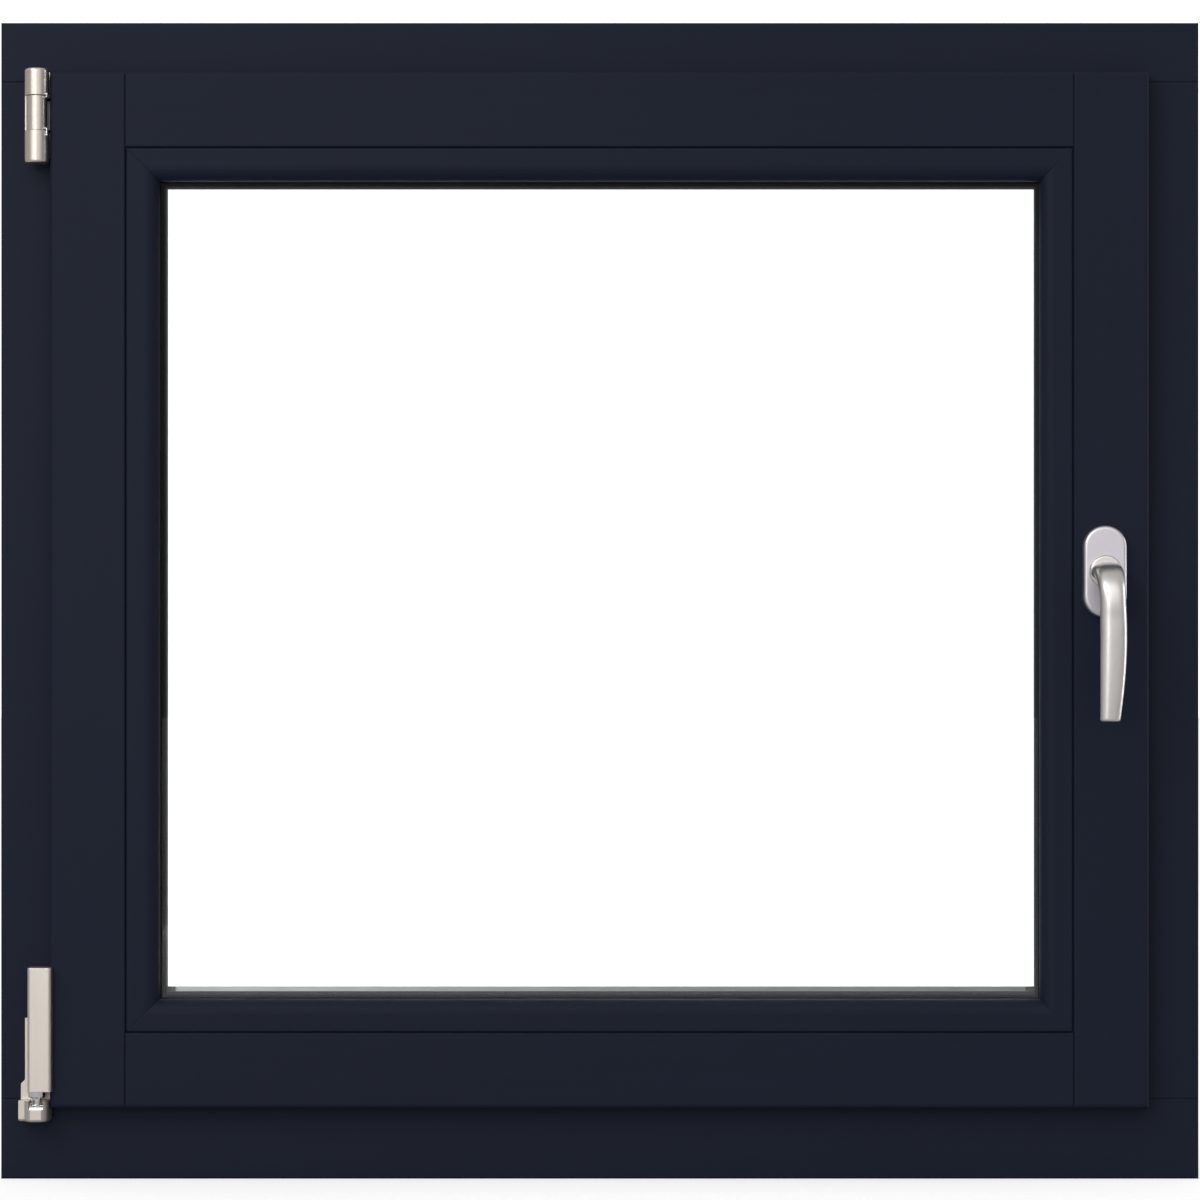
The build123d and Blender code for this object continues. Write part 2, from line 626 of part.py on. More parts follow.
def hardware_grooves():
    """Faceplate recess and rod groove along the sash's top, right and bottom edges."""
    cuts = []
    top_start = TOP_PLATE_START - GUIDE_LENGTH
    for half, depth in ((FACEPLATE_WIDTH / 2, FACEPLATE), (GROOVE_WIDTH / 2, GROOVE_DEPTH)):
        y = (Y_GROOVE - half, Y_GROOVE + half)
        right, above, below = X_HARDWARE + OVERCUT, Z_HARDWARE_TOP + OVERCUT, Z_HARDWARE_BOTTOM - OVERCUT
        cuts.append(block((X_HARDWARE - depth, right), y, (below, above)))
        cuts.append(block((top_start, right), y, (Z_HARDWARE_TOP - depth, above)))
        cuts.append(block((BOTTOM_PLATE_START, right), y, (below, Z_HARDWARE_BOTTOM + depth)))
    half = GUIDE_SLOT / 2 + SHEET
    pocket = (Y_GROOVE - half, Y_GROOVE + half)
    cuts.append(block(guide_limits(), pocket, (Z_HARDWARE_TOP - GUIDE_DEPTH - SHEET, Z_HARDWARE_TOP)))
    return cuts


def gearbox_cuts():
    """Mortise for the gearbox and the holes for the spindle and the rosette screws."""
    half = GEARBOX_WIDTH / 2 + GEARBOX_CLEARANCE
    height = GEARBOX_HALF_HEIGHT + GEARBOX_CLEARANCE
    z = (HANDLE_HEIGHT - height, HANDLE_HEIGHT + height)
    depth = FACEPLATE + GEARBOX_DEPTH + GEARBOX_CLEARANCE
    mortise = block((X_HARDWARE - depth, X_HARDWARE), (Y_GROOVE - half, Y_GROOVE + half), z)
    return [mortise, handle_rod(SPINDLE_HOLE, Y_FRONT, Y_GROOVE)] + rosette_screws()


def rosette_screws():
    """The two machine screws that clamp the rosette base through the sash into the gearbox."""
    screws = []
    for way in (-1, 1):
        z = HANDLE_HEIGHT + way * SCREW_SPACING / 2
        seat = (X_HANDLE, Y_FRONT - ROSETTE_SCREW_SEAT, z)
        head = rod(ROSETTE_SCREW_HEAD, (X_HANDLE, Y_FRONT - ROSETTE_BASE, z), seat)
        screws.append(head + rod(ROSETTE_SCREW, seat, (X_HANDLE, Y_GROOVE, z)))
    return screws


def seal_grooves():
    """Grooves for the stems of the lip seal and the middle seal."""
    lip, middle = seal_stems()
    return list(ring(lip, SASH_RIM).values()) + list(ring(middle, SASH_RIM).values())


def seal_stems():
    """Sections of the lip seal's and the middle seal's stems."""
    lip = LIP_SEAL_INSET + (LIP_SEAL_WIDTH - SEAL_STEM) / 2
    middle = HARDWARE_EDGE + MIDDLE_SEAL_INSET + (MIDDLE_SEAL_WIDTH - SEAL_STEM) / 2
    return [rectangle(start, start + SEAL_STEM, y - SEAL_STEM_DEPTH, y)
            for start, y in ((lip, Y_LIP_BACK), (middle, Y_SASH_STEP))]


def seal_bulb(edge, width, flat, y_base, y_tip):
    """Section of a seal's bulb, which tapers to a flat tip."""
    near, far = (edge + width * share for share in flat)
    return [(edge, y_base), (near, y_tip), (far, y_tip), (edge + width, y_base)]


def build_sash(cutters):
    left, right, bottom, top = SASH_RIM
    envelope = sash_envelope()
    stiles, raw = {}, {}
    for side in ("left", "right"):
        raw[side] = bar(side, sash_outline(NO_EASE), bottom, top, SASH_RIM)
        stiles[side] = bar(side, sash_outline(BEAD_EASE), bottom, top, SASH_RIM) & envelope
    rails = {}
    y_tenon = (Y_SASH_STEP, Y_SASH_STEP + TENON_THICKNESS)
    for side in ("top", "bottom"):
        rails[side] = cut(bar(side, sash_outline(BEAD_EASE), left, right, SASH_RIM) & envelope,
                          raw["left"], raw["right"])
        z = sorted(across(side, offset, SASH_RIM) for offset in (OUTER_EDGE + TENON_SHOULDER, REBATE_EDGE))
        for end in ("left", "right"):
            x = sorted(across(end, offset, SASH_RIM) for offset in (REBATE_EDGE - TENON_LENGTH, REBATE_EDGE))
            joint = block(x, y_tenon, z)
            rails[side] = rails[side] + joint
            stiles[end] = stiles[end] - joint
    shoulder_z = bottom + SASH_WIDTH
    rails["bottom"] -= block((left + SASH_WIDTH, right - SASH_WIDTH), (Y_SHOULDER, Y_BACK),
                             (shoulder_z - DRIP_SEAT, shoulder_z))
    save("sash_stile_left", cut(stiles["left"], *cutters))
    save("sash_stile_right", cut(stiles["right"], *cutters, *gearbox_cuts()))
    save("sash_rail_top", cut(rails["top"], *cutters))
    save("sash_rail_bottom", cut(rails["bottom"], *cutters))


def build_seals():
    """Lip seal and middle seal, left out where the hinge straps pass behind the lip."""
    lip_stem, middle_stem = seal_stems()
    lip = seal_bulb(LIP_SEAL_INSET, LIP_SEAL_WIDTH, LIP_SEAL_TIP, Y_LIP_BACK, Y_ROOM - SEAL_CLEARANCE)
    middle = seal_bulb(HARDWARE_EDGE + MIDDLE_SEAL_INSET, MIDDLE_SEAL_WIDTH, MIDDLE_SEAL_TIP, Y_SASH_STEP,
                       Y_STEP - SEAL_CLEARANCE)
    breaks = ((STRAP_BOTTOM - SEAL_BREAK, STRAP_TOP + SEAL_BREAK), (Z_KNUCKLE_BOTTOM - SEAL_BREAK, HEIGHT))
    x = (SASH_RIM[0] - OVERCUT, SASH_RIM[0] + HARDWARE_EDGE)
    gaps = [block(x, (Y_FRONT, Y_ROOM), z) for z in breaks]
    lip_parts, middle_parts = [[bulb + stem for bulb, stem in zip(ring(outer, SASH_RIM).values(),
                                                                  ring(inner, SASH_RIM).values())]
                               for outer, inner in ((lip, lip_stem), (middle, middle_stem))]
    save("lip_seal", *[cut(strip, *gaps) for strip in lip_parts])
    save("middle_seal", *middle_parts)


# ---- glazing
def bead_outline():
    """Flat face, then a rounded nose down to the glass."""
    start = REBATE_EDGE + BEAD_JOINT
    flat = REBATE_EDGE + BEAD_FLAT
    nose = SASH_WIDTH - flat
    steps = 6
    turns = [pi / 2 * index / steps for index in range(steps + 1)]
    curve = [(flat + nose * sin(turn), Y_FRONT + BEAD_NOSE * (1 - cos(turn))) for turn in turns]
    back = [(SASH_WIDTH, Y_BEAD_BACK), (start, Y_BEAD_BACK), (start, Y_FRONT + BEAD_EASE)]
    return [(start + BEAD_EASE, Y_FRONT)] + curve + back


def build_glazing():
    """Four mitred beads, three panes, the spacers and sealant between them, and two gaskets."""
    for side, strip in ring(bead_outline(), SASH_RIM).items():
        save("glazing_bead_" + side, strip)
    y = Y_GLASS_OUT
    for name in ("outer", "middle", "inner"):
        save("glass_" + name, slab(GLASS_EDGE, (y - PANE, y), SASH_RIM))
        y -= PANE + PANE_GAP
    start = GLASS_EDGE + SEALANT_DEPTH
    spacers, sealant = [], []
    for index in range(2):
        y_far = Y_GLASS_OUT - PANE - index * (PANE + PANE_GAP)
        spacer = rectangle(start, start + SPACER_DEPTH, y_far - PANE_GAP, y_far)
        spacers += ring(spacer, SASH_RIM).values()
        sealant += ring(rectangle(GLASS_EDGE, start, y_far - PANE_GAP, y_far), SASH_RIM).values()
    save("glass_spacers", *spacers)
    save("glass_edge_sealant", *sealant)
    inset = SASH_WIDTH - GASKET_INSET
    inner = rectangle(inset, SASH_WIDTH - GASKET_SETBACK, Y_BEAD_BACK, Y_GLASS_IN)
    outer = rectangle(inset, SASH_WIDTH - GASKET_SETBACK, Y_GLASS_OUT, Y_SHOULDER)
    save("inner_glass_gasket", *ring(inner, SASH_RIM).values())
    outer = ring(outer, SASH_RIM)
    fin_top = SASH_WIDTH + DRIP_NOSE - DRIP_SHOWN
    fin = rectangle(SASH_WIDTH - GASKET_SETBACK, fin_top, Y_GLASS_OUT, Y_SHOULDER)
    outer["bottom"] += bar("bottom", fin, SASH_RIM[0] + SASH_WIDTH, SASH_RIM[1] - SASH_WIDTH, SASH_RIM)
    save("outer_glass_gasket", *outer.values())


def build_setting_blocks():
    """Two packing blocks on each side, between the glass edge and the rebate."""
    blocks = []
    for side in SIDES:
        start, end = (SASH_RIM[2], SASH_RIM[3]) if side in ("left", "right") else (SASH_RIM[0], SASH_RIM[1])
        low, high = start + GLASS_EDGE + BLOCK_INSET, end - GLASS_EDGE - BLOCK_INSET
        outline = rectangle(REBATE_EDGE, GLASS_EDGE, Y_GLASS_IN, Y_GLASS_OUT)
        blocks.append(bar(side, outline, low, low + BLOCK_LENGTH, SASH_RIM))
        blocks.append(bar(side, outline, high - BLOCK_LENGTH, high, SASH_RIM))
    save("setting_blocks", *blocks)


def build_drip_rail():
    """The aluminium drip rail over the bottom rail's outside shoulder."""
    seat = SASH_WIDTH - DRIP_SEAT
    nose = SASH_WIDTH + DRIP_NOSE
    foot = nose - DRIP_DROP
    out = Y_BACK + SHEET
    tip = out + DRIP_PROUD
    leg = Y_SHOULDER + SHEET
    bevel, edge = nose - DRIP_BEVEL, foot - DRIP_EDGE
    outline = [(nose, Y_SHOULDER), (nose, leg), (bevel, out), (foot + DRIP_FOOT_RISE, out), (foot, tip),
               (edge, tip), (edge, tip - DRIP_EDGE_WALL), (foot - DRIP_FOOT_WALL, tip - DRIP_EDGE_WALL),
               (foot + DRIP_EDGE_WALL, Y_BACK), (nose - DRIP_THROAT, Y_BACK), (nose - DRIP_NOSE_WALL, leg),
               (seat, leg), (seat, Y_SHOULDER)]
    low, high = SASH_RIM[0] + SASH_WIDTH, SASH_RIM[1] - SASH_WIDTH
    save("sash_drip_rail", bar("bottom", outline, low + DRIP_CAP, high - DRIP_CAP, SASH_RIM))
    closed = [(nose, Y_SHOULDER), (nose, leg), (bevel, out), (foot, tip), (edge, tip),
              (foot + DRIP_EDGE_WALL, Y_BACK), (seat, Y_BACK), (seat, Y_SHOULDER)]
    caps = [bar("bottom", closed, low, low + DRIP_CAP, SASH_RIM),
            bar("bottom", closed, high - DRIP_CAP, high, SASH_RIM)]
    save("drip_rail_end_caps", *caps)


# ---- stay hinge at the top left
def guide_limits():
    """Left and right ends of the stay guide in the sash's top edge."""
    return (TOP_PLATE_START - GUIDE_LENGTH, TOP_PLATE_START)


def guide_ends():
    """Screw places beside the guide's slot."""
    low, high = guide_limits()
    return (low + GUIDE_SCREW_INSET, high - GUIDE_SCREW_INSET)


def neck(radius, z):
    """A hinge lug with a neck back to its plate."""
    lug = hinge_rod(radius, z[0], z[1])
    back = block((X_PIN - LUG_LEFT, X_PIN + LUG_RIGHT), (Y_PIN, Y_ROOM - HINGE_PLATE + LUG_SINK), z)
    return lug + back


def build_stay_bearing(screws):
    """The frame's upper hinge plate with its two lugs, and their cover caps."""
    x = (FRAME_RIM[0] + HINGE_PLATE_INSET, FRAME_RIM[0] + HINGE_PLATE_INSET + HINGE_PLATE_WIDTH)
    plate = block(x, (Y_ROOM - HINGE_PLATE, Y_ROOM), (Z_CAP_BOTTOM + STAY_PLATE_SETBACK, Z_CAP_TOP))
    plate = fillet(plate.edges().filter_by(Axis.Y), STAY_PLATE_CORNER)
    through = (Y_ROOM - HINGE_PLATE - OVERCUT, Y_ROOM + OVERCUT)
    window = block((X_PIN - STAY_WINDOW_INSET, x[1] + OVERCUT), through,
                   (Z_KNUCKLE_BOTTOM - KNUCKLE_GAP, Z_KNUCKLE_TOP + KNUCKLE_GAP))
    inner = BARREL_RADIUS - BARREL_WALL
    lower = neck(inner, (Z_CAP_BOTTOM + CAP_END, Z_KNUCKLE_BOTTOM - KNUCKLE_GAP))
    upper = neck(inner, (Z_KNUCKLE_TOP + KNUCKLE_GAP, Z_CAP_TOP - CAP_END))
    bore = hinge_rod(STAY_PIN_RADIUS + RUNNING, Z_CAP_BOTTOM, Z_CAP_TOP)
    save("stay_bearing", cut((plate - window) + lower + upper, bore, *screws))
    save("stay_bearing_caps", cap_shell(Z_KNUCKLE_BOTTOM - KNUCKLE_GAP, Z_CAP_BOTTOM),
         cap_shell(Z_KNUCKLE_TOP + KNUCKLE_GAP, Z_CAP_TOP))


def cap_shell(z_open, z_closed):
    """A round cover cap with a domed end, open towards the knuckle and notched for the neck."""
    shell = hinge_rod(BARREL_RADIUS, z_open, z_closed)
    end = shell.faces().sort_by(Axis.Z)[0 if z_closed < z_open else -1]
    shell = fillet(end.edges(), CAP_DOME)
    way = 1.0 if z_closed > z_open else -1.0
    inner_end = z_closed - way * CAP_END
    hollow = hinge_rod(BARREL_RADIUS - BARREL_WALL, z_open, inner_end)
    notch = block((X_PIN - LUG_LEFT, X_PIN + LUG_RIGHT), (Y_PIN, Y_ROOM), (z_open, inner_end))
    return cut(shell, hollow, notch)


def build_stay_pin():
    """The upper hinge's pin."""
    low, high = Z_CAP_BOTTOM + PIN_SETBACK, Z_CAP_TOP - PIN_SETBACK
    save("stay_pin", hinge_rod(STAY_PIN_RADIUS, low, high))


def strap_leaf(x_from, x_to, z):
    """A flat strap in the gap behind the sash lip."""
    y_near = Y_ROOM - STRAP_CLEARANCE
    return block((x_from, x_to), (y_near - STRAP, y_near), z)


def build_stay_arm():
    """Knuckle, leaf behind the lip, wall in the air gap and flat arm over the sash."""
    z = (Z_KNUCKLE_BOTTOM, Z_KNUCKLE_TOP)
    knuckle = hinge_rod(KNUCKLE_RADIUS - BARREL_WALL, z[0], z[1])
    z_web = (z[0] + WEB_INSET, z[1] - WEB_INSET)
    web = block((X_PIN, X_PIN + WEB), (Y_PIN, Y_ROOM - STRAP_CLEARANCE), z_web)
    x_wall = X_PIN + ARM_WALL_OFFSET
    z_arm = Z_HARDWARE_TOP + ARM_LIFT
    y_far = Y_GROOVE + ARM_WIDTH / 2
    leaf = strap_leaf(X_PIN, x_wall + ARM_THICKNESS, z_web)
    low_wall = block((x_wall, x_wall + ARM_THICKNESS), (Y_ROOM - STRAP_CLEARANCE - STRAP, y_far), z_web)
    y_near = Y_GROOVE - ARM_WIDTH / 2
    high_wall = block((x_wall, x_wall + ARM_THICKNESS), (y_near, y_far), (z_web[0], z_arm + ARM_THICKNESS))
    x_end = X_PIN + ARM_REACH
    arm = block((x_wall, x_end), (y_near, y_far), (z_arm, z_arm + ARM_THICKNESS))
    arm += rod(ARM_WIDTH / 2, (x_end, Y_GROOVE, z_arm), (x_end, Y_GROOVE, z_arm + ARM_THICKNESS))
    bore = hinge_rod(STAY_PIN_RADIUS + RUNNING, z[0], z[1])
    z_top = z_arm + ARM_THICKNESS
    stud_hole = rod(STUD_RADIUS, (x_end, Y_GROOVE, z_arm), (x_end, Y_GROOVE, z_top))
    save("stay_arm", cut(knuckle + web + leaf + low_wall + high_wall + arm, bore, stud_hole))
    clips = retaining_clips()
    notch = block((X_PIN, X_PIN + WEB), (Y_PIN, Y_ROOM), z)
    save("stay_knuckle_cover", cut(hinge_rod(KNUCKLE_RADIUS, z[0], z[1]) - knuckle, notch, *clips))
    save("stay_retaining_clips", *clips)
    stud = rod(STUD_RADIUS, (x_end, Y_GROOVE, z_arm - STUD_DROP), (x_end, Y_GROOVE, z_top))
    head = rod(STUD_RADIUS + STUD_HEAD_PROUD, (x_end, Y_GROOVE, z_top), (x_end, Y_GROOVE, z_top + STUD_HEAD))
    save("stay_guide_stud", stud + head)


def retaining_clips():
    """Two round-tipped fingers that hold the knuckle's cover, past the ends of the caps' gaps."""
    reach = BARREL_RADIUS + CLIP_TIP + RUNNING
    z_ends = ((Z_KNUCKLE_TOP - 2 * CLIP_ARM, CLIP_RISE), (Z_KNUCKLE_BOTTOM + 2 * CLIP_ARM, -CLIP_DROP))
    clips = []
    for z, rise in z_ends:
        root, tip = [(X_PIN + far * cos(CLIP_TURN), Y_PIN - far * sin(CLIP_TURN), z)
                     for far in (KNUCKLE_RADIUS - CLIP_SINK, reach)]
        end = (tip[0], tip[1], z + rise)
        clips.append(rod(CLIP_ARM, root, tip) + rod(CLIP_ARM, tip, end) + Pos(*end) * Sphere(CLIP_TIP))
    return clips


def build_stay_guide(screws):
    """The channel in the sash's top edge that the stay's stud slides along."""
    low, high = guide_limits()
    half = GUIDE_SLOT / 2
    top = Z_HARDWARE_TOP
    wide = (Y_GROOVE - half - SHEET, Y_GROOVE + half + SHEET)
    body = block((low, high), wide, (top - GUIDE_DEPTH - SHEET, top))
    slot = block((low + GUIDE_SLOT_INSET, high - GUIDE_SLOT_INSET), (Y_GROOVE - half, Y_GROOVE + half),
                 (top - GUIDE_DEPTH, top))
    save("stay_guide_rail", cut(body, slot, *screws))


# ---- corner hinge at the bottom left
def bearing_profile(z):
    """A block that is round on its room side and runs back to the plate."""
    y = (Y_PIN, Y_ROOM - HINGE_PLATE)
    back = block((X_PIN - BEARING_SIDE, X_PIN + BEARING_RADIUS), y, z)
    front = hinge_rod(BEARING_RADIUS, z[0], z[1])
    flat = block((X_PIN - FAR, X_PIN + FAR), (Y_PIN - FAR, Y_PIN - BEARING_FRONT), z)
    return (back + front) - flat


def build_corner_bearing(screws):
    """The frame's lower hinge plate and block, and the axle that the sash tilts on."""
    left = FRAME_RIM[0] + HINGE_PLATE_INSET
    right = left + HINGE_PLATE_WIDTH
    low, high = BEARING_BOTTOM + BEARING_PLATE_RISE, BEARING_PLATE_TOP
    outline = [(left - BEARING_WING, low), (right, low), (right, high), (left, high),
               (left, BEARING_WING_TOP + BEARING_WING), (left - BEARING_WING, BEARING_WING_TOP)]
    plate = prism([(x, Y_ROOM - HINGE_PLATE, z) for x, z in outline], (0, HINGE_PLATE, 0))
    body = bearing_profile((BEARING_BOTTOM, BEARING_TOP))
    body = fillet(body.faces().sort_by(Axis.Z)[0].edges(), BEARING_CORNER)
    cheeks = (X_PIN - CHEEK_GAP, X_PIN + CHEEK_GAP)
    reach = EYE_RADIUS + POCKET_ROOM
    pocket = block(cheeks, (Y_PIN - reach, Y_PIN + reach), (Z_TILT - EYE_RADIUS - POCKET_PLAY, BEARING_TOP))
    mouth = block(cheeks, (Y_PIN - FAR, Y_PIN), (Z_TILT + MOUTH_RISE, BEARING_TOP))
    save("corner_bearing", cut(plate + body, pocket, mouth, tilt_axle(), *screws))
    save("tilt_axle", tilt_axle())


def tilt_axle():
    """The axle across the bearing block."""
    reach = BEARING_RADIUS - AXLE_SETBACK
    return rod(AXLE_RADIUS, (X_PIN - reach, Y_PIN, Z_TILT), (X_PIN + reach, Y_PIN, Z_TILT))


def build_corner_pin():
    """Eye on the tilt axle, adjusting collar, and the upright pin that the sash turns on."""
    half = EYE_WIDTH / 2
    eye = rod(EYE_RADIUS, (X_PIN - half, Y_PIN, Z_TILT), (X_PIN + half, Y_PIN, Z_TILT))
    stem = hinge_rod(PIN_RADIUS, Z_TILT, SLEEVE_TOP - SLEEVE_CAP - SLEEVE_END_GAP)
    collar = hinge_rod(COLLAR_RADIUS, COLLAR_BOTTOM, SLEEVE_BOTTOM - COLLAR_GAP)
    collar = chamfer(collar.faces().sort_by(Axis.Z)[0].edges(), COLLAR_CHAMFER)
    bore = rod(AXLE_RADIUS + RUNNING, (X_PIN - half, Y_PIN, Z_TILT), (X_PIN + half, Y_PIN, Z_TILT))
    save("corner_pin", (eye + stem + collar) - bore)


def build_corner_strap(screws):
    """Sleeve round the corner pin, web and leaf behind the lip, and flange on the sash's edge."""
    z = (STRAP_BOTTOM, STRAP_TOP)
    sleeve = hinge_rod(SLEEVE_RADIUS, SLEEVE_BOTTOM, SLEEVE_TOP - COVER_WALL)
    web = block((X_PIN, X_PIN + WEB), (Y_PIN, Y_ROOM - STRAP_CLEARANCE), z)
    x_edge = SASH_RIM[0] + HARDWARE_EDGE
    leaf = strap_leaf(X_PIN, x_edge, z)
    y_flange = (Y_ROOM - STRAP_CLEARANCE - STRAP, Y_SASH_STEP - FLANGE_SETBACK)
    flange = block((x_edge - STRAP, x_edge), y_flange, z)
    bore = hinge_rod(PIN_RADIUS + RUNNING, SLEEVE_BOTTOM, SLEEVE_TOP - SLEEVE_CAP)
    save("corner_strap", cut(sleeve + web + leaf + flange, bore, *screws))
    save("corner_strap_cover", strap_cover())


def strap_cover():
    """The long pressed cover over the sleeve, open at the bottom and notched round the sash lip."""
    back = Y_PIN + SLEEVE_RADIUS + COVER_BACK
    front = Y_PIN - COVER_FRONT
    lip_x, lip_y = SASH_RIM[0] - COVER_SIDE_GAP, Y_FRONT - COVER_FRONT_GAP
    z = (SLEEVE_BOTTOM, SLEEVE_TOP)
    outer = block((X_PIN - COVER_LEFT, X_PIN + COVER_RIGHT), (front, back), z)
    outer = fillet(outer.faces().sort_by(Axis.Y)[0].edges().filter_by(Axis.Z), COVER_ROUND)
    outer = fillet(outer.faces().sort_by(Axis.Z)[-1].edges(), COVER_TOP_ROUND)
    lip = block((lip_x, X_PIN + FAR), (lip_y, Y_PIN + FAR), z)
    inside = (z[0], z[1] - COVER_WALL)
    x_hollow = (X_PIN - COVER_LEFT + COVER_WALL, lip_x - COVER_WALL)
    hollow = block(x_hollow, (front + COVER_WALL, Y_PIN + FAR), inside)
    side = block((X_PIN, X_PIN + COVER_RIGHT - COVER_WALL), (front + COVER_WALL, lip_y - COVER_WALL), inside)
    return cut(outer, lip, hollow, side)


# ---- drive hardware in the sash edge
def drive_rod(side, start, end):
    """A flat drive rod under a faceplate, along one side."""
    edge = HARDWARE_EDGE + FACEPLATE + ROD_PLAY
    outline = rectangle(edge, edge + ROD_THICKNESS, Y_GROOVE - ROD_WIDTH / 2, Y_GROOVE + ROD_WIDTH / 2)
    return bar(side, outline, start, end, SASH_RIM)


def cam(side, place):
    """A mushroom-headed locking cam riveted to a drive rod."""
    inner = across(side, HARDWARE_EDGE + FACEPLATE + ROD_PLAY, SASH_RIM)
    neck_end = across(side, HARDWARE_EDGE - CAM_PROUD + CAM_HEAD_THICKNESS, SASH_RIM)
    tip = across(side, HARDWARE_EDGE - CAM_PROUD, SASH_RIM)
    if side in ("left", "right"):
        points = [(level, Y_GROOVE, place) for level in (inner, neck_end, tip)]
    else:
        points = [(place, Y_GROOVE, level) for level in (inner, neck_end, tip)]
    return rod(CAM_SHANK, points[0], points[1]) + rod(CAM_HEAD, points[1], points[2])


def cam_slot(side, place, way):
    """The faceplate slot that a cam travels along, towards one way."""
    half = CAM_SHANK + SLOT_PLAY
    low, high = sorted((place, place + way * TRAVEL))
    outline = rectangle(HARDWARE_EDGE - OVERCUT, HARDWARE_EDGE + FACEPLATE + OVERCUT,
                        Y_GROOVE - half, Y_GROOVE + half)
    return bar(side, outline, low - half, high + half, SASH_RIM)


def faceplate(side, start, end):
    """A flat plate let into the sash edge over the rod groove."""
    half = FACEPLATE_WIDTH / 2
    outline = rectangle(HARDWARE_EDGE, HARDWARE_EDGE + FACEPLATE, Y_GROOVE - half, Y_GROOVE + half)
    return bar(side, outline, start, end, SASH_RIM)


def corner_drive(side):
    """The angled housing that leads the drive round one right-hand corner of the sash."""
    low, high = sorted(across(side, HARDWARE_EDGE + leg, SASH_RIM) for leg in (0.0, CORNER_LEG))
    plate = faceplate("right", low, high) + faceplate(side, X_HARDWARE - CORNER_LEG, X_HARDWARE)
    half = GROOVE_WIDTH / 2 - ROD_PLAY
    outline = rectangle(HARDWARE_EDGE + FACEPLATE, HARDWARE_EDGE + FACEPLATE + CORNER_BODY,
                        Y_GROOVE - half, Y_GROOVE + half)
    low, high = sorted(across(side, HARDWARE_EDGE + leg, SASH_RIM) for leg in (FACEPLATE, CORNER_LEG))
    body = bar("right", outline, low, high, SASH_RIM)
    body += bar(side, outline, X_HARDWARE - CORNER_LEG, X_HARDWARE - FACEPLATE, SASH_RIM)
    return plate + body


def rack_teeth():
    """Rack teeth on the side of the upright rod that faces the gear, with a gap level with it."""
    root = HARDWARE_EDGE + FACEPLATE + ROD_PLAY + ROD_THICKNESS
    pitch = pi * MODULE
    pitch_line = HARDWARE_EDGE + BACKSET - PITCH_RADIUS
    tip = pitch_line + RACK_ADDENDUM * MODULE
    half_tip = pitch / 4 - BACKLASH / 4 - (tip - pitch_line) * tan(PRESSURE_ANGLE)
    half_root = pitch / 4 - BACKLASH / 4 + (pitch_line - root) * tan(PRESSURE_ANGLE)
    teeth = []
    y = Y_GROOVE - GEAR_WIDTH / 2
    for index in range(-RACK_SPARE, TEETH // 2 + RACK_SPARE):
        z = HANDLE_HEIGHT + (index + 0.5) * pitch
        points = [(root - RACK_SINK, z - half_root), (root, z - half_root), (tip, z - half_tip),
                  (tip, z + half_tip), (root, z + half_root), (root - RACK_SINK, z + half_root)]
        outline = [(SASH_RIM[1] - offset, y, level) for offset, level in points]
        teeth.append(prism(outline, (0, GEAR_WIDTH, 0)))
    return teeth


def gear_outline():
    """Involute gear outline about the handle axis, one tooth pointing at the rack."""
    base = PITCH_RADIUS * cos(PRESSURE_ANGLE)
    tip = PITCH_RADIUS + MODULE
    root = PITCH_RADIUS - DEDENDUM * MODULE
    half = (pi / 2 - BACKLASH / (2 * MODULE)) / TEETH
    involute = tan(PRESSURE_ANGLE) - PRESSURE_ANGLE
    flank = [(root, half + involute)]
    steps = 5
    for index in range(steps + 1):
        radius = base + (tip - base) * index / steps
        angle = acos(min(1.0, base / radius))
        flank.append((radius, half + involute - (tan(angle) - angle)))
    points = []
    for tooth in range(TEETH):
        middle = 2 * pi * tooth / TEETH
        points += [(radius, middle - angle) for radius, angle in flank]
        points += [(radius, middle + angle) for radius, angle in reversed(flank)]
    return [(X_HANDLE + radius * cos(angle), HANDLE_HEIGHT + radius * sin(angle))
            for radius, angle in points]


def build_gear():
    """The gear that the spindle turns."""
    y = Y_GROOVE - GEAR_WIDTH / 2
    teeth = prism([(x, y, z) for x, z in gear_outline()], (0, GEAR_WIDTH, 0))
    half = GEARBOX_WIDTH / 2
    hub = handle_rod(GEAR_HUB, Y_GROOVE - half, Y_GROOVE + half)
    save("drive_gear", (teeth + hub) - spindle())


def spindle():
    """The square spindle from the lever to the gear."""
    half = SPINDLE / 2
    return block((X_HANDLE - half, X_HANDLE + half), (Y_FRONT - SPINDLE_REACH, Y_GROOVE + GEARBOX_WIDTH / 2),
                 (HANDLE_HEIGHT - half, HANDLE_HEIGHT + half))


def build_gearbox():
    """Gearbox case: two side walls round the gear, and a channel that the toothed rod slides in."""
    half, height = GEARBOX_WIDTH / 2, GEARBOX_HALF_HEIGHT
    x_face = X_HARDWARE - FACEPLATE
    z = (HANDLE_HEIGHT - height, HANDLE_HEIGHT + height)
    case = block((x_face - GEARBOX_DEPTH, x_face), (Y_GROOVE - half, Y_GROOVE + half), z)
    inner = half - GEARBOX_WALL
    x_channel = x_face - 2 * ROD_PLAY - ROD_THICKNESS - CHANNEL_ROOM
    channel = block((x_channel, x_face), (Y_GROOVE - inner, Y_GROOVE + inner), z)
    pocket = handle_rod(PITCH_RADIUS + MODULE + GEAR_POCKET_PLAY, Y_GROOVE - inner, Y_GROOVE + inner)
    bore = handle_rod(GEAR_HUB + RUNNING, Y_GROOVE - half, Y_GROOVE + half)
    save("gearbox_housing", cut(case, channel, pocket, bore, *rosette_screws()))


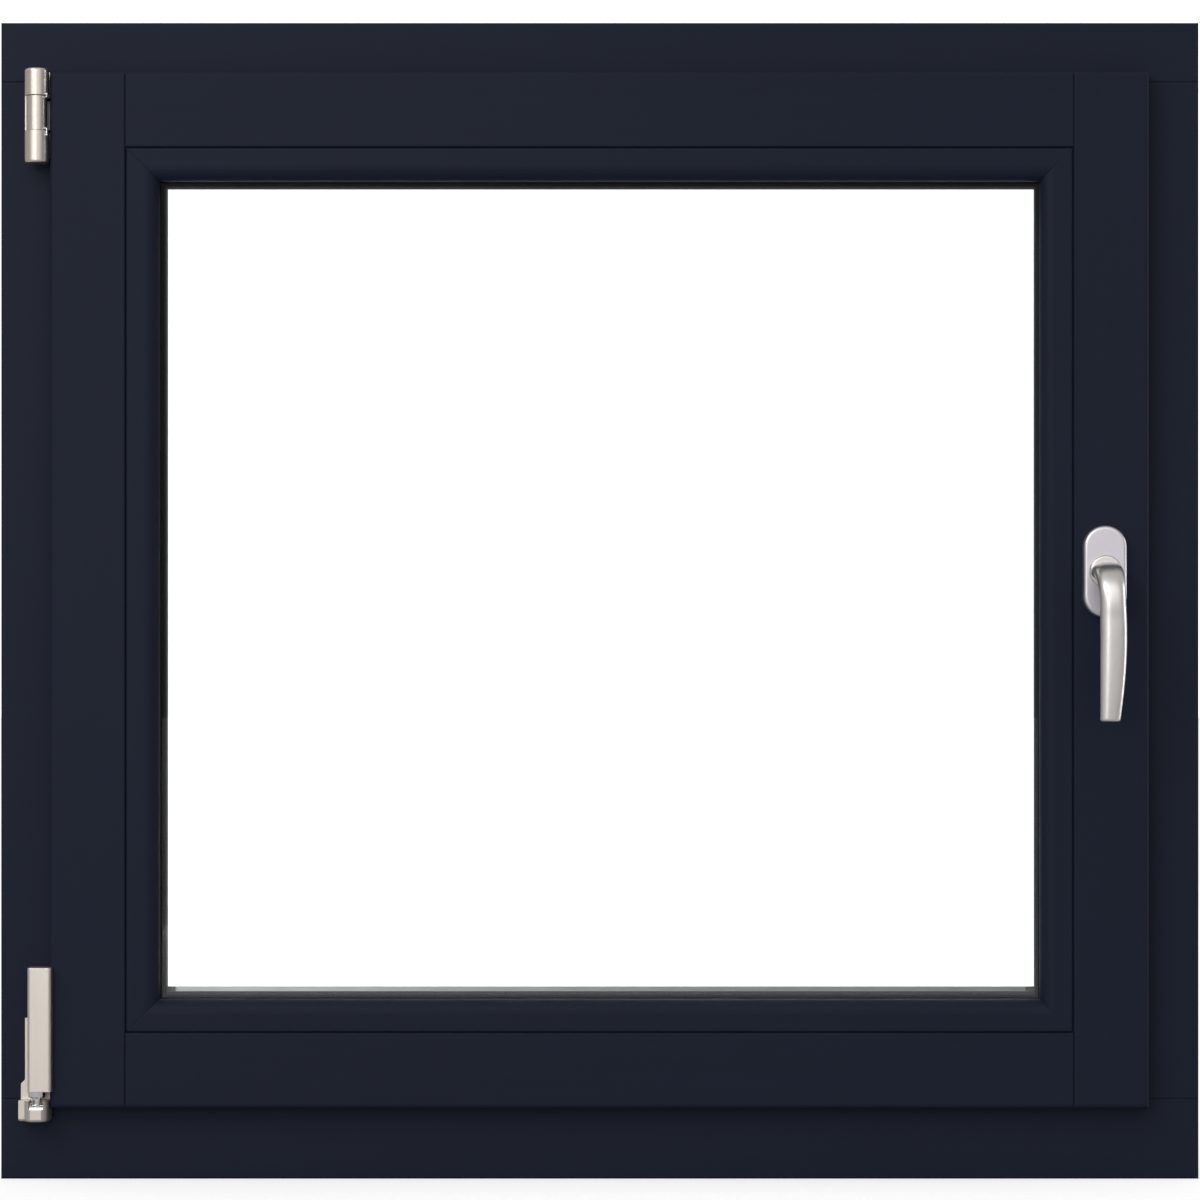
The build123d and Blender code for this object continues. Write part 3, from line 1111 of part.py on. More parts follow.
def build_drive(screws):
    """Faceplates, sliding rods with their cams, and the two corner drives."""
    upright = drive_rod("right", Z_CORNER_LOW + TRAVEL + ROD_END_GAP, Z_CORNER_HIGH - ROD_END_GAP)
    for tooth in rack_teeth():
        upright += tooth
    save("drive_rod_right", upright)
    save("drive_rod_top", drive_rod("top", TOP_PLATE_START + ROD_INSET, X_CORNER - TRAVEL - ROD_END_GAP))
    start = BOTTOM_PLATE_START + ROD_INSET + TRAVEL
    save("drive_rod_bottom", drive_rod("bottom", start, X_CORNER - ROD_END_GAP))
    save("locking_cams_right", *[cam("right", z) for z in RIGHT_CAMS])
    save("locking_cam_top", cam("top", TOP_CAM))
    save("locking_cam_bottom", cam("bottom", BOTTOM_CAM))
    plates = (("right", Z_CORNER_LOW, Z_CORNER_HIGH, [cam_slot("right", z, -1) for z in RIGHT_CAMS]),
              ("top", TOP_PLATE_START, X_CORNER, [cam_slot("top", TOP_CAM, 1)]),
              ("bottom", BOTTOM_PLATE_START, X_CORNER, [cam_slot("bottom", BOTTOM_CAM, -1)]))
    for side, start, end, slots in plates:
        save("faceplate_" + side, cut(faceplate(side, start, end), *slots, *screws))
    save("corner_drives", cut(corner_drive("top"), *screws), cut(corner_drive("bottom"), *screws))


# ---- handle
def build_rosette():
    """Rosette base, its snap-on cover and the two screws under it."""
    journal = handle_rod(JOURNAL + RUNNING, Y_FRONT, Y_ROSETTE)
    wide, tall = ROSETTE_WIDTH - 2 * ROSETTE_WALL, ROSETTE_HEIGHT - 2 * ROSETTE_WALL
    base = stadium(X_HANDLE, HANDLE_HEIGHT, Y_FRONT, wide, tall, ROSETTE_BASE)
    save("rosette_base", cut(base, journal, *rosette_screws()))
    cover = stadium(X_HANDLE, HANDLE_HEIGHT, Y_FRONT, ROSETTE_WIDTH, ROSETTE_HEIGHT, ROSETTE_DEPTH)
    cover = fillet(cover.faces().sort_by(Axis.Y)[0].edges(), ROSETTE_ROUND)
    hollow = stadium(X_HANDLE, HANDLE_HEIGHT, Y_FRONT, wide, tall, ROSETTE_DEPTH - ROSETTE_WALL)
    opening = handle_rod(JOURNAL + ROSETTE_OPENING_PLAY, Y_FRONT, Y_ROSETTE)
    save("handle_rosette", cut(cover, hollow, opening))
    save("rosette_screws", *rosette_screws())


def lever_section(centre, normal, width, thickness):
    """A softly squared oval across the lever."""
    plane = Plane(origin=centre, x_dir=(1, 0, 0), z_dir=normal)
    count = 16
    points = []
    for index in range(count):
        angle = 2 * pi * index / count
        c, s = cos(angle), sin(angle)
        x = width / 2 * abs(c) ** GRIP_SQUARENESS * (1 if c > 0 else -1)
        y = thickness / 2 * abs(s) ** GRIP_SQUARENESS * (1 if s > 0 else -1)
        points.append((x, y))
    return plane * make_face(Spline(*points, periodic=True))


def lever_stations():
    """Centre, normal, width and thickness of each section, from the boss round the elbow to the tip."""
    y_grip = Y_FRONT - GRIP_STANDOFF
    y_elbow = y_grip + ELBOW
    stations = [(Vector(X_HANDLE, Y_ROSETTE - BOSS_HEIGHT, HANDLE_HEIGHT), (0, -1, 0),
                 NECK_WIDTH, NECK_THICKNESS)]
    steps = 5
    for index in range(steps):
        share = index / steps
        turn = share * pi / 2
        centre = Vector(X_HANDLE + ELBOW_SHIFT * share, y_elbow - ELBOW * sin(turn),
                        HANDLE_HEIGHT - ELBOW * (1 - cos(turn)))
        width = NECK_WIDTH + (GRIP_WIDTH - NECK_WIDTH) * share
        thickness = NECK_THICKNESS + (GRIP_THICKNESS - NECK_THICKNESS) * share
        stations.append((centre, (0, -cos(turn), -sin(turn)), width, thickness))
    steps = 7
    for index in range(steps + 1):
        share = index / steps
        drop = ELBOW + (GRIP_LENGTH - ELBOW) * share
        centre = Vector(X_HANDLE + ELBOW_SHIFT + GRIP_DRIFT * sin(pi * share) - GRIP_RETREAT * share ** 2,
                        y_grip + GRIP_RETURN * share ** 2, HANDLE_HEIGHT - drop)
        width = GRIP_WIDTH + GRIP_SWELL * sin(pi * share) + (TIP_WIDTH - GRIP_WIDTH) * share ** 2
        thickness = GRIP_THICKNESS + (TIP_THICKNESS - GRIP_THICKNESS) * share
        stations.append((centre, (0, 0, -1), width, thickness))
    return stations


def build_lever():
    """Journal and boss, a neck that turns down through an elbow, and the tapering grip."""
    stations = lever_stations()
    lever = loft([lever_section(*station) for station in stations])
    centre, normal, width, thickness = stations[-1]
    tip = []
    for turn in (0.0, pi / 6, pi / 3, pi / 2.2):
        shrink = 2 * TIP_ROUND * (1 - cos(turn))
        end = centre - Vector(0, 0, TIP_ROUND * sin(turn))
        tip.append(lever_section(end, normal, width - shrink, thickness - shrink))
    lever += loft(tip, ruled=True)
    y_start = Y_ROSETTE - BOSS_GAP
    boss = handle_rod(BOSS, y_start, y_start - BOSS_HEIGHT)
    boss = fillet(boss.faces().sort_by(Axis.Y)[0].edges(), BOSS_ROUND)
    journal = handle_rod(JOURNAL, y_start, Y_FRONT - JOURNAL_GAP)
    save("handle_lever", (lever + boss + journal) - spindle())
    save("handle_spindle", spindle())


# ---- whole window
def main():
    os.makedirs("parts", exist_ok=True)
    lock, tilt, striking = all_strikers()
    in_frame = hinge_screws() + striking
    in_sash = strap_screws() + hardware_screws()
    build_frame(in_frame)
    build_rain_rail()
    save("lock_strikers", *[cut(plate, *striking) for plate in lock])
    save("tilt_striker", cut(tilt, *striking))
    save("frame_screws", *striking, *hinge_screws())
    build_sash(hardware_grooves() + seal_grooves() + in_sash)
    build_seals()
    build_glazing()
    build_setting_blocks()
    build_drip_rail()
    build_stay_bearing(hinge_screws())
    build_stay_pin()
    build_stay_arm()
    build_stay_guide(hardware_screws())
    build_corner_bearing(hinge_screws())
    build_corner_pin()
    build_corner_strap(strap_screws())
    save("hardware_screws", *hardware_screws(), *strap_screws())
    build_drive(hardware_screws())
    build_gear()
    build_gearbox()
    build_rosette()
    build_lever()


main()
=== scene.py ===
from math import pi

import bmesh
import bpy
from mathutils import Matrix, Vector


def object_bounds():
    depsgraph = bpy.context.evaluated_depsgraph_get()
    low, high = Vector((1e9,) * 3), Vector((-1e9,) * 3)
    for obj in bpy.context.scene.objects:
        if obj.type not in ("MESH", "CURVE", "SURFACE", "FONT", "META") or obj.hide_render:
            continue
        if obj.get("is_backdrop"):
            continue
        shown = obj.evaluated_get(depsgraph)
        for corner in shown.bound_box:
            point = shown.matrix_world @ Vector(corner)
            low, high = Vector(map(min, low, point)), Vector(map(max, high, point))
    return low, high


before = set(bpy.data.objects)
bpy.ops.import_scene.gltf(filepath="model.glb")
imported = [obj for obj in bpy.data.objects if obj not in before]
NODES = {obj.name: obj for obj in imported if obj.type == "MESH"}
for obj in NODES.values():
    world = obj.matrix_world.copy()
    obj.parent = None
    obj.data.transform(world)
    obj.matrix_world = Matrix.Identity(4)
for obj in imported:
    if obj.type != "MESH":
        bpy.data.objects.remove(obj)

bl_info = {
    "name": "Tilt-and-turn window finishes",
    "version": (1, 0, 0),
    "blender": (4, 5, 0),
    "location": "3D View > Sidebar > Window",
    "description": "Finishes, lights and camera for a timber tilt-and-turn window",
    "category": "Object",
}

# ---- fixed values
# A pattern is drawn out along the axis whose share is small: upright is Z and level is X.
UPRIGHT_GRAIN = (1.0, 1.0, 0.045)
LEVEL_GRAIN = (0.045, 1.0, 1.0)
UPRIGHT_BRUSHING = (1.0, 1.0, 0.02)
LEVEL_BRUSHING = (0.02, 1.0, 1.0)
UPRIGHT_ROLLING = (1.0, 1.0, 0.03)
LEVEL_ROLLING = (0.03, 1.0, 1.0)
TURNING = (0.05, 0.05, 1.0)
EXTRUSION = (0.06, 1.0, 0.06)

# Plastics and rubbers.
SPACER_COLOUR = (0.014, 0.016, 0.020)
SEALANT_COLOUR = (0.012, 0.012, 0.013)
GASKET_COLOUR = (0.016, 0.016, 0.017)
SEAL_COLOUR = (0.020, 0.020, 0.021)
BLOCK_COLOUR = (0.030, 0.085, 0.24)
END_CAP_COLOUR = (0.018, 0.018, 0.019)
ROSETTE_BASE_COLOUR = (0.05, 0.05, 0.052)
# The spacer's breather holes are painted near-black as the shade inside them.
PAINTED_HOLE_SHADE = (0.002, 0.002, 0.002)

# Dust on paint, metal and plastic.
PAINT_DUST = (0.10, 0.10, 0.10)
METAL_DUST = (0.30, 0.29, 0.28)
PLASTIC_DUST = (0.22, 0.21, 0.20)

# The room as a light, in the direction that it is looked at.
ROOM_FRONT = {"From Min": -0.97, "From Max": -0.45, "To Min": 1.0, "To Max": 0.32}
ROOM_SIDES = {"From Min": -1.0, "From Max": 1.0, "To Min": 1.20, "To Max": 0.80}
ROOM_CEILING = {"From Min": 0.05, "From Max": 0.8, "To Min": 1.0, "To Max": 1.8}
ROOM_WHITE = 1.4

# Glow of the floor where it is looked at, and what is added through glass, to read as white.
FLOOR_GLOW = 0.62
FLOOR_GLOW_THROUGH_GLASS = 0.65
FLOOR_HALF_WIDTH = 40.0
FLOOR_SQUARES = 24

# Lamps face this point. Each has a place, a width, a height, the setting that holds its power
# and its share of that power.
LAMP_TARGET = (0.0, 0.0, 0.45)
LAMPS = {
    "key": ((-1.9, -2.6, 2.3), 1.6, 1.6, "key_power", 1.0),
    "strip": ((-0.85, -3.3, 0.75), 0.3, 1.5, "strip_power", 1.0),
    "rim": ((2.3, 0.15, 0.5), 0.5, 1.6, "fill_power", 1.0),
    "outside": ((0.6, 3.2, 2.4), 2.2, 2.2, "key_power", 0.6),
}

# The camera stands right of the window's middle, below its middle, and is shifted to frame it.
CAMERA_ASIDE = 0.053
CAMERA_HEIGHT = 0.360
CAMERA_SHIFT = (-0.061, 0.067)


# ---- settings
class WindowPaintSettings(bpy.types.PropertyGroup):
    """Sprayed paint on the timber."""
    colour: bpy.props.FloatVectorProperty(
        name="Paint colour", description="Colour of the sprayed coat", subtype="COLOR", size=3,
        min=0.0, max=1.0, default=(0.0102, 0.0141, 0.0284))
    # The arrises are painted lighter than the coat: partly thinner, rubbed paint, partly painted
    # highlight where they catch the light.
    edge_wear_and_highlight_colour: bpy.props.FloatVectorProperty(
        name="Edge colour", description="Thinner paint on the arrises", subtype="COLOR", size=3,
        min=0.0, max=1.0, default=(0.017, 0.021, 0.036))
    roughness: bpy.props.FloatProperty(
        name="Roughness", description="Satin of the coat",
        default=0.47, min=0.0, max=1.0, subtype="FACTOR")
    grain_depth: bpy.props.FloatProperty(
        name="Grain depth", description="How far the timber's grain telegraphs through the paint",
        default=0.00012, min=0.0, max=0.001, unit="LENGTH", precision=5)
    arris: bpy.props.FloatProperty(
        name="Arris", description="Width of the softened arris",
        default=0.0012, min=0.0, max=0.01, unit="LENGTH")


class WindowMetalSettings(bpy.types.PropertyGroup):
    """Metals of the fittings."""
    nickel: bpy.props.FloatVectorProperty(
        name="Satin nickel", description="Colour of the hinge covers", subtype="COLOR", size=3,
        min=0.0, max=1.0, default=(0.70, 0.64, 0.58))
    barrel: bpy.props.FloatVectorProperty(
        name="Brushed barrel", description="Colour of the upper hinge's round covers",
        subtype="COLOR", size=3, min=0.0, max=1.0, default=(0.75, 0.685, 0.60))
    handle: bpy.props.FloatVectorProperty(
        name="Handle silver", description="Colour of the lever", subtype="COLOR", size=3,
        min=0.0, max=1.0, default=(0.80, 0.765, 0.74))
    rosette: bpy.props.FloatVectorProperty(
        name="Rosette silver", description="Colour of the rosette's cover", subtype="COLOR", size=3,
        min=0.0, max=1.0, default=(0.72, 0.69, 0.73))
    aluminium: bpy.props.FloatVectorProperty(
        name="Rail aluminium", description="Colour of the outside rails", subtype="COLOR", size=3,
        min=0.0, max=1.0, default=(0.71, 0.72, 0.74))
    zinc: bpy.props.FloatVectorProperty(
        name="Zinc plate", description="Colour of the hidden steel fittings", subtype="COLOR", size=3,
        min=0.0, max=1.0, default=(0.60, 0.61, 0.63))
    bright: bpy.props.FloatVectorProperty(
        name="Bright steel", description="Colour of the turned pins and axles", subtype="COLOR", size=3,
        min=0.0, max=1.0, default=(0.82, 0.82, 0.83))
    satin: bpy.props.FloatProperty(
        name="Satin", description="Roughness of the satin metals",
        default=0.34, min=0.0, max=1.0, subtype="FACTOR")


class WindowGlassSettings(bpy.types.PropertyGroup):
    """The triple-glazed unit."""
    tint: bpy.props.FloatVectorProperty(
        name="Glass tint", description="Faint tint of each pane", subtype="COLOR", size=3,
        min=0.0, max=1.0, default=(0.985, 0.996, 0.990))
    wave: bpy.props.FloatProperty(
        name="Float wave", description="Depth of the slow ripple in the panes", default=0.000002,
        min=0.0, max=0.001, unit="LENGTH", precision=6)


class WindowFastenerSettings(bpy.types.PropertyGroup):
    """Heads of the screws."""
    head_roughness: bpy.props.FloatProperty(
        name="Head roughness", description="Roughness of the zinc plated heads",
        default=0.28, min=0.0, max=1.0, subtype="FACTOR")


class WindowStageSettings(bpy.types.PropertyGroup):
    """Floor, lights and camera."""
    floor_colour: bpy.props.FloatVectorProperty(
        name="Floor", description="Colour of the floor", subtype="COLOR", size=3,
        min=0.0, max=1.0, default=(0.55, 0.55, 0.55))
    key_power: bpy.props.FloatProperty(
        name="Key light", description="Power of the large light at the upper left",
        default=26.0, min=0.0, unit="POWER")
    strip_power: bpy.props.FloatProperty(
        name="Strip light", description="Power of the tall narrow light beside the camera",
        default=7.0, min=0.0, unit="POWER")
    fill_power: bpy.props.FloatProperty(
        name="Rim light", description="Power of the light at the far right",
        default=10.0, min=0.0, unit="POWER")
    room_light: bpy.props.FloatProperty(
        name="Room light", description="Brightness of the room in front of the window",
        default=1.22, min=0.0)
    glass_reflection: bpy.props.FloatProperty(
        name="Glass reflection", description="Share of the room's brightness that clear glass mirrors",
        default=0.12, min=0.0, max=1.0, subtype="FACTOR")
    lens: bpy.props.FloatProperty(
        name="Lens", description="Focal length of the camera", default=135.0, min=10.0, unit="CAMERA")
    distance: bpy.props.FloatProperty(
        name="Distance", description="Distance of the camera from the middle of the frame",
        default=3.284, min=0.5, unit="LENGTH")


# ---- node helpers
def shaded(colour, factor, lift=0.0):
    """A colour made darker or lighter."""
    return [min(1.0, channel * factor + lift) for channel in colour]


def object_place(tree):
    """Coordinates that stay with each piece."""
    return add(tree, "ShaderNodeTexCoord").outputs["Object"]


def add(tree, kind, inputs=None, **settings):
    """A node with its settings and its input values."""
    node = tree.nodes.new(kind)
    for key, value in settings.items():
        setattr(node, key, value)
    for key, value in (inputs or {}).items():
        node.inputs[key].default_value = value
    return node


def math_node(tree, operation, first, second=None, third=None, clamp=False):
    """A math node whose operands are numbers or output sockets."""
    node = add(tree, "ShaderNodeMath", operation=operation, use_clamp=clamp)
    for index, operand in enumerate((first, second, third)):
        if operand is None:
            continue
        if isinstance(operand, (int, float)):
            node.inputs[index].default_value = operand
        else:
            tree.links.new(operand, node.inputs[index])
    return node.outputs[0]


def mix_colour(tree, factor, first, second):
    """Two colours mixed by a mask."""
    node = add(tree, "ShaderNodeMix", data_type="RGBA")
    tree.links.new(factor, node.inputs[0])
    for socket, colour in ((node.inputs[6], first), (node.inputs[7], second)):
        if isinstance(colour, bpy.types.NodeSocket):
            tree.links.new(colour, socket)
        else:
            socket.default_value = (*colour, 1.0)
    return node.outputs[2]


def new_group(name, inputs, outputs):
    """A shader node group with named sockets, and its input and output nodes."""
    group = bpy.data.node_groups.new(name, "ShaderNodeTree")
    for label, kind, value in inputs:
        socket = group.interface.new_socket(name=label, in_out="INPUT", socket_type=kind)
        if value is not None:
            socket.default_value = value
    for label, kind in outputs:
        group.interface.new_socket(name=label, in_out="OUTPUT", socket_type=kind)
    return group, group.nodes.new("NodeGroupInput").outputs, group.nodes.new("NodeGroupOutput").inputs


def use_group(tree, name, values=None):
    """A placed node group with this material's own values."""
    node = tree.nodes.new("ShaderNodeGroup")
    node.node_tree = bpy.data.node_groups[name]
    for key, value in (values or {}).items():
        node.inputs[key].default_value = value
    return node


# ---- shared effects
def stretched_grain_group():
    """Fibres drawn out along one direction: timber grain, brushing and rolling marks."""
    group, given, out = new_group(
        "stretched_grain",
        [("Stretch", "NodeSocketVector", (1.0, 1.0, 1.0)), ("Scale", "NodeSocketFloat", 100.0),
         ("Wander", "NodeSocketFloat", 0.3)],
        [("Height", "NodeSocketFloat"), ("Tone", "NodeSocketFloat")])
    place = object_place(group)
    wander = add(group, "ShaderNodeTexNoise", {"Scale": 3.0, "Detail": 2.0})
    group.links.new(place, wander.inputs["Vector"])
    offset = add(group, "ShaderNodeVectorMath", operation="SCALE")
    group.links.new(wander.outputs["Color"], offset.inputs[0])
    scale = math_node(group, "MULTIPLY", given["Wander"], 0.01)
    group.links.new(scale, offset.inputs["Scale"])
    moved = add(group, "ShaderNodeVectorMath", operation="ADD")
    group.links.new(place, moved.inputs[0])
    group.links.new(offset.outputs[0], moved.inputs[1])
    drawn = add(group, "ShaderNodeVectorMath", operation="MULTIPLY")
    group.links.new(moved.outputs[0], drawn.inputs[0])
    group.links.new(given["Stretch"], drawn.inputs[1])
    coarse = add(group, "ShaderNodeTexNoise", {"Detail": 5.0, "Roughness": 0.62})
    fine = add(group, "ShaderNodeTexNoise", {"Detail": 3.0, "Roughness": 0.5})
    group.links.new(drawn.outputs[0], coarse.inputs["Vector"])
    group.links.new(drawn.outputs[0], fine.inputs["Vector"])
    group.links.new(given["Scale"], coarse.inputs["Scale"])
    group.links.new(math_node(group, "MULTIPLY", given["Scale"], 4.1), fine.inputs["Scale"])
    mixed = math_node(group, "MULTIPLY_ADD", fine.outputs[0], 0.4,
                      math_node(group, "MULTIPLY", coarse.outputs[0], 0.6))
    group.links.new(mixed, out["Height"])
    group.links.new(coarse.outputs[0], out["Tone"])


def edge_group():
    """Softened arrises: a mask along the edges and the rounded normal across them. The materials paint
    the masked edges lighter, partly as rubbed-through finish and partly as painted highlight where an
    arris catches the light.
    """
    group, given, out = new_group(
        "softened_edge_wear_and_highlight", [("Width", "NodeSocketFloat", 0.001), ("Wear And Highlight", "NodeSocketFloat", 0.5)],
        [("Mask", "NodeSocketFloat"), ("Normal", "NodeSocketVector")])
    bevel = add(group, "ShaderNodeBevel", samples=6)
    group.links.new(given["Width"], bevel.inputs["Radius"])
    flat = add(group, "ShaderNodeNewGeometry")
    dot = add(group, "ShaderNodeVectorMath", operation="DOT_PRODUCT")
    group.links.new(bevel.outputs[0], dot.inputs[0])
    group.links.new(flat.outputs["Normal"], dot.inputs[1])
    turned = math_node(group, "SUBTRACT", 1.0, dot.outputs["Value"])
    patches = add(group, "ShaderNodeTexNoise", {"Scale": 60.0, "Detail": 4.0})
    group.links.new(object_place(group), patches.inputs["Vector"])
    # Noise breaks the edge mask into patches, as rubbing does; the lighter edges it drives are also
    # painted highlight.
    patchy = math_node(group, "MULTIPLY_ADD", patches.outputs[0], 4.0, 2.0)
    worn_and_highlit = math_node(group, "MULTIPLY", turned, patchy)
    group.links.new(math_node(group, "MULTIPLY", worn_and_highlit, given["Wear And Highlight"], clamp=True), out["Mask"])
    group.links.new(bevel.outputs[0], out["Normal"])


def dust_group():
    """Fine dust that settles on faces that look up."""
    group, given, out = new_group(
        "settled_dust", [("Amount", "NodeSocketFloat", 0.2), ("Scale", "NodeSocketFloat", 180.0)],
        [("Mask", "NodeSocketFloat")])
    normal = add(group, "ShaderNodeSeparateXYZ")
    group.links.new(add(group, "ShaderNodeNewGeometry").outputs["Normal"], normal.inputs[0])
    up = add(group, "ShaderNodeMapRange", {"From Min": 0.4, "From Max": 0.95}, clamp=True)
    group.links.new(normal.outputs["Z"], up.inputs["Value"])
    specks = add(group, "ShaderNodeTexNoise", {"Detail": 6.0, "Roughness": 0.7})
    group.links.new(object_place(group), specks.inputs["Vector"])
    group.links.new(given["Scale"], specks.inputs["Scale"])
    shown = add(group, "ShaderNodeMapRange", {"From Min": 0.42, "From Max": 0.75}, clamp=True)
    group.links.new(specks.outputs[0], shown.inputs["Value"])
    amount = math_node(group, "MULTIPLY", math_node(group, "MULTIPLY", up.outputs[0], shown.outputs[0]),
                       given["Amount"], clamp=True)
    group.links.new(amount, out["Mask"])


def speckle_group():
    """The fine sparkle and orange peel of blasted, anodised, sprayed and moulded surfaces."""
    group, given, out = new_group(
        "speckle", [("Scale", "NodeSocketFloat", 900.0), ("Patch Scale", "NodeSocketFloat", 12.0)],
        [("Height", "NodeSocketFloat"), ("Patches", "NodeSocketFloat")])
    place = object_place(group)
    cells = add(group, "ShaderNodeTexNoise", {"Detail": 2.0, "Roughness": 0.6})
    patches = add(group, "ShaderNodeTexNoise", {"Detail": 4.0, "Roughness": 0.55})
    for node, socket in ((cells, "Scale"), (patches, "Patch Scale")):
        group.links.new(place, node.inputs["Vector"])
        group.links.new(given[socket], node.inputs["Scale"])
    group.links.new(cells.outputs[0], out["Height"])
    group.links.new(patches.outputs[0], out["Patches"])


def build_groups():
    """Each shared effect, once."""
    for make in (stretched_grain_group, edge_group, dust_group, speckle_group):
        make()


# ---- materials
def start_material(name):
    """An empty procedural material and its surface shader."""
    made = bpy.data.materials.new(name)
    made.use_nodes = True
    tree = made.node_tree
    shader = next(n for n in tree.nodes if n.type == "BSDF_PRINCIPLED")
    return made, tree, shader


def bump_on(tree, shader, height, depth, normal=None):
    """A relief of a depth in metres on a surface."""
    bump = add(tree, "ShaderNodeBump", {"Strength": 1.0, "Distance": depth})
    tree.links.new(height, bump.inputs["Height"])
    if normal is not None:
        tree.links.new(normal, bump.inputs["Normal"])
    tree.links.new(bump.outputs[0], shader.inputs["Normal"])


def varied(tree, value, spread, centre):
    """A number that wanders by a spread round its centre, driven by a 0 to 1 pattern."""
    return math_node(tree, "MULTIPLY_ADD", value, spread, centre - spread / 2, clamp=True)


def painted_timber(name, stretch, paint):
    """Sprayed satin paint over timber whose grain runs along the member."""
    made, tree, shader = start_material(name)
    grain = use_group(tree, "stretched_grain", {"Stretch": stretch, "Scale": 150.0, "Wander": 0.5})
    edge = use_group(tree, "softened_edge_wear_and_highlight", {"Width": paint.arris, "Wear And Highlight": 0.8})
    dust = use_group(tree, "settled_dust", {"Amount": 0.10, "Scale": 260.0})
    spray = use_group(tree, "speckle", {"Scale": 700.0, "Patch Scale": 5.0})
    deep = shaded(paint.colour, 0.82)
    light = shaded(paint.colour, 1.16)
    tone = math_node(tree, "MULTIPLY_ADD", grain.outputs["Tone"], 0.5,
                     math_node(tree, "MULTIPLY", spray.outputs["Patches"], 0.5))
    body = mix_colour(tree, tone, deep, light)
    # Painted highlight and rubbed paint: the arrises get the lighter edge colour.
    body = mix_colour(tree, edge.outputs["Mask"], body, paint.edge_wear_and_highlight_colour)
    body = mix_colour(tree, dust.outputs["Mask"], body, PAINT_DUST)
    tree.links.new(body, shader.inputs["Base Color"])
    tree.links.new(varied(tree, tone, 0.12, paint.roughness), shader.inputs["Roughness"])
    shader.inputs["Specular IOR Level"].default_value = 0.10
    relief = math_node(tree, "MULTIPLY_ADD", spray.outputs["Height"], 0.12, grain.outputs["Height"])
    bump_on(tree, shader, relief, paint.grain_depth, edge.outputs["Normal"])
    return made


def metal(name, colour, roughness, stretch=None, brush=0.00001, edge=0.0004, blast=0.000004):
    """A worked metal: drawn brushing where a stretch is given, otherwise a blasted, even grain."""
    made, tree, shader = start_material(name)
    shader.inputs["Metallic"].default_value = 1.0
    speck = use_group(tree, "speckle", {"Scale": 1400.0, "Patch Scale": 30.0})
    wear_and_highlight = use_group(tree, "softened_edge_wear_and_highlight", {"Width": edge, "Wear And Highlight": 0.6})
    dust = use_group(tree, "settled_dust", {"Amount": 0.12, "Scale": 400.0})
    dark = shaded(colour, 0.90)
    light = shaded(colour, 1.06)
    if stretch:
        lines = use_group(tree, "stretched_grain", {"Stretch": stretch, "Scale": 260.0, "Wander": 0.02})
        pattern, height, depth = lines.outputs["Height"], lines.outputs["Height"], brush
    else:
        pattern, height, depth = speck.outputs["Patches"], speck.outputs["Height"], blast
    body = mix_colour(tree, pattern, dark, light)
    # Painted highlight and rubbing: the arrises are lightened to a brighter copy of the metal's colour.
    body = mix_colour(tree, wear_and_highlight.outputs["Mask"], body, shaded(colour, 1.2))
    body = mix_colour(tree, dust.outputs["Mask"], body, METAL_DUST)
    tree.links.new(body, shader.inputs["Base Color"])
    rough = varied(tree, speck.outputs["Patches"], 0.10, roughness)
    rough = math_node(tree, "MULTIPLY_ADD", dust.outputs["Mask"], 0.4, rough, clamp=True)
    tree.links.new(rough, shader.inputs["Roughness"])
    bump_on(tree, shader, height, depth, wear_and_highlight.outputs["Normal"])
    return made


def moulded(name, colour, roughness, depth=0.00002, scale=1100.0, stretch=None, sheen=0.0):
    """Moulded plastic or extruded rubber."""
    made, tree, shader = start_material(name)
    speck = use_group(tree, "speckle", {"Scale": scale, "Patch Scale": 18.0})
    edge = use_group(tree, "softened_edge_wear_and_highlight", {"Width": 0.0004, "Wear And Highlight": 0.4})
    dust = use_group(tree, "settled_dust", {"Amount": 0.2, "Scale": 350.0})
    dark = shaded(colour, 0.75)
    light = shaded(colour, 1.3, 0.004)
    height = speck.outputs["Height"]
    if stretch:
        lines = use_group(tree, "stretched_grain", {"Stretch": stretch, "Scale": 500.0, "Wander": 0.02})
        height = math_node(tree, "MULTIPLY_ADD", lines.outputs["Height"], 1.5, height)
    body = mix_colour(tree, speck.outputs["Patches"], dark, light)
    # Painted highlight: the arrises of plastic and rubber are made much lighter, with a little rubbing.
    body = mix_colour(tree, edge.outputs["Mask"], body, shaded(colour, 1.8, 0.01))
    body = mix_colour(tree, dust.outputs["Mask"], body, PLASTIC_DUST)
    tree.links.new(body, shader.inputs["Base Color"])
    tree.links.new(varied(tree, speck.outputs["Patches"], 0.16, roughness), shader.inputs["Roughness"])
    if sheen:
        shader.inputs["Sheen Weight"].default_value = sheen
    bump_on(tree, shader, height, depth, edge.outputs["Normal"])
    return made


def pane_glass(settings):
    """Clear float glass that lets the lamps through."""
    made, tree, shader = start_material("float_glass")
    shader.inputs["Base Color"].default_value = (*settings.tint, 1.0)
    shader.inputs["Roughness"].default_value = 0.0
    shader.inputs["IOR"].default_value = 1.5
    shader.inputs["Transmission Weight"].default_value = 1.0
    wave = add(tree, "ShaderNodeTexNoise", {"Scale": 5.0, "Detail": 1.0})
    tree.links.new(object_place(tree), wave.inputs["Vector"])
    bump_on(tree, shader, wave.outputs[0], settings.wave)
    path = add(tree, "ShaderNodeLightPath")
    clear = add(tree, "ShaderNodeBsdfTransparent")
    mixed = add(tree, "ShaderNodeMixShader")
    out = next(n for n in tree.nodes if n.type == "OUTPUT_MATERIAL")
    tree.links.new(path.outputs["Is Shadow Ray"], mixed.inputs[0])
    tree.links.new(shader.outputs[0], mixed.inputs[1])
    tree.links.new(clear.outputs[0], mixed.inputs[2])
    tree.links.new(mixed.outputs[0], out.inputs["Surface"])
    return made


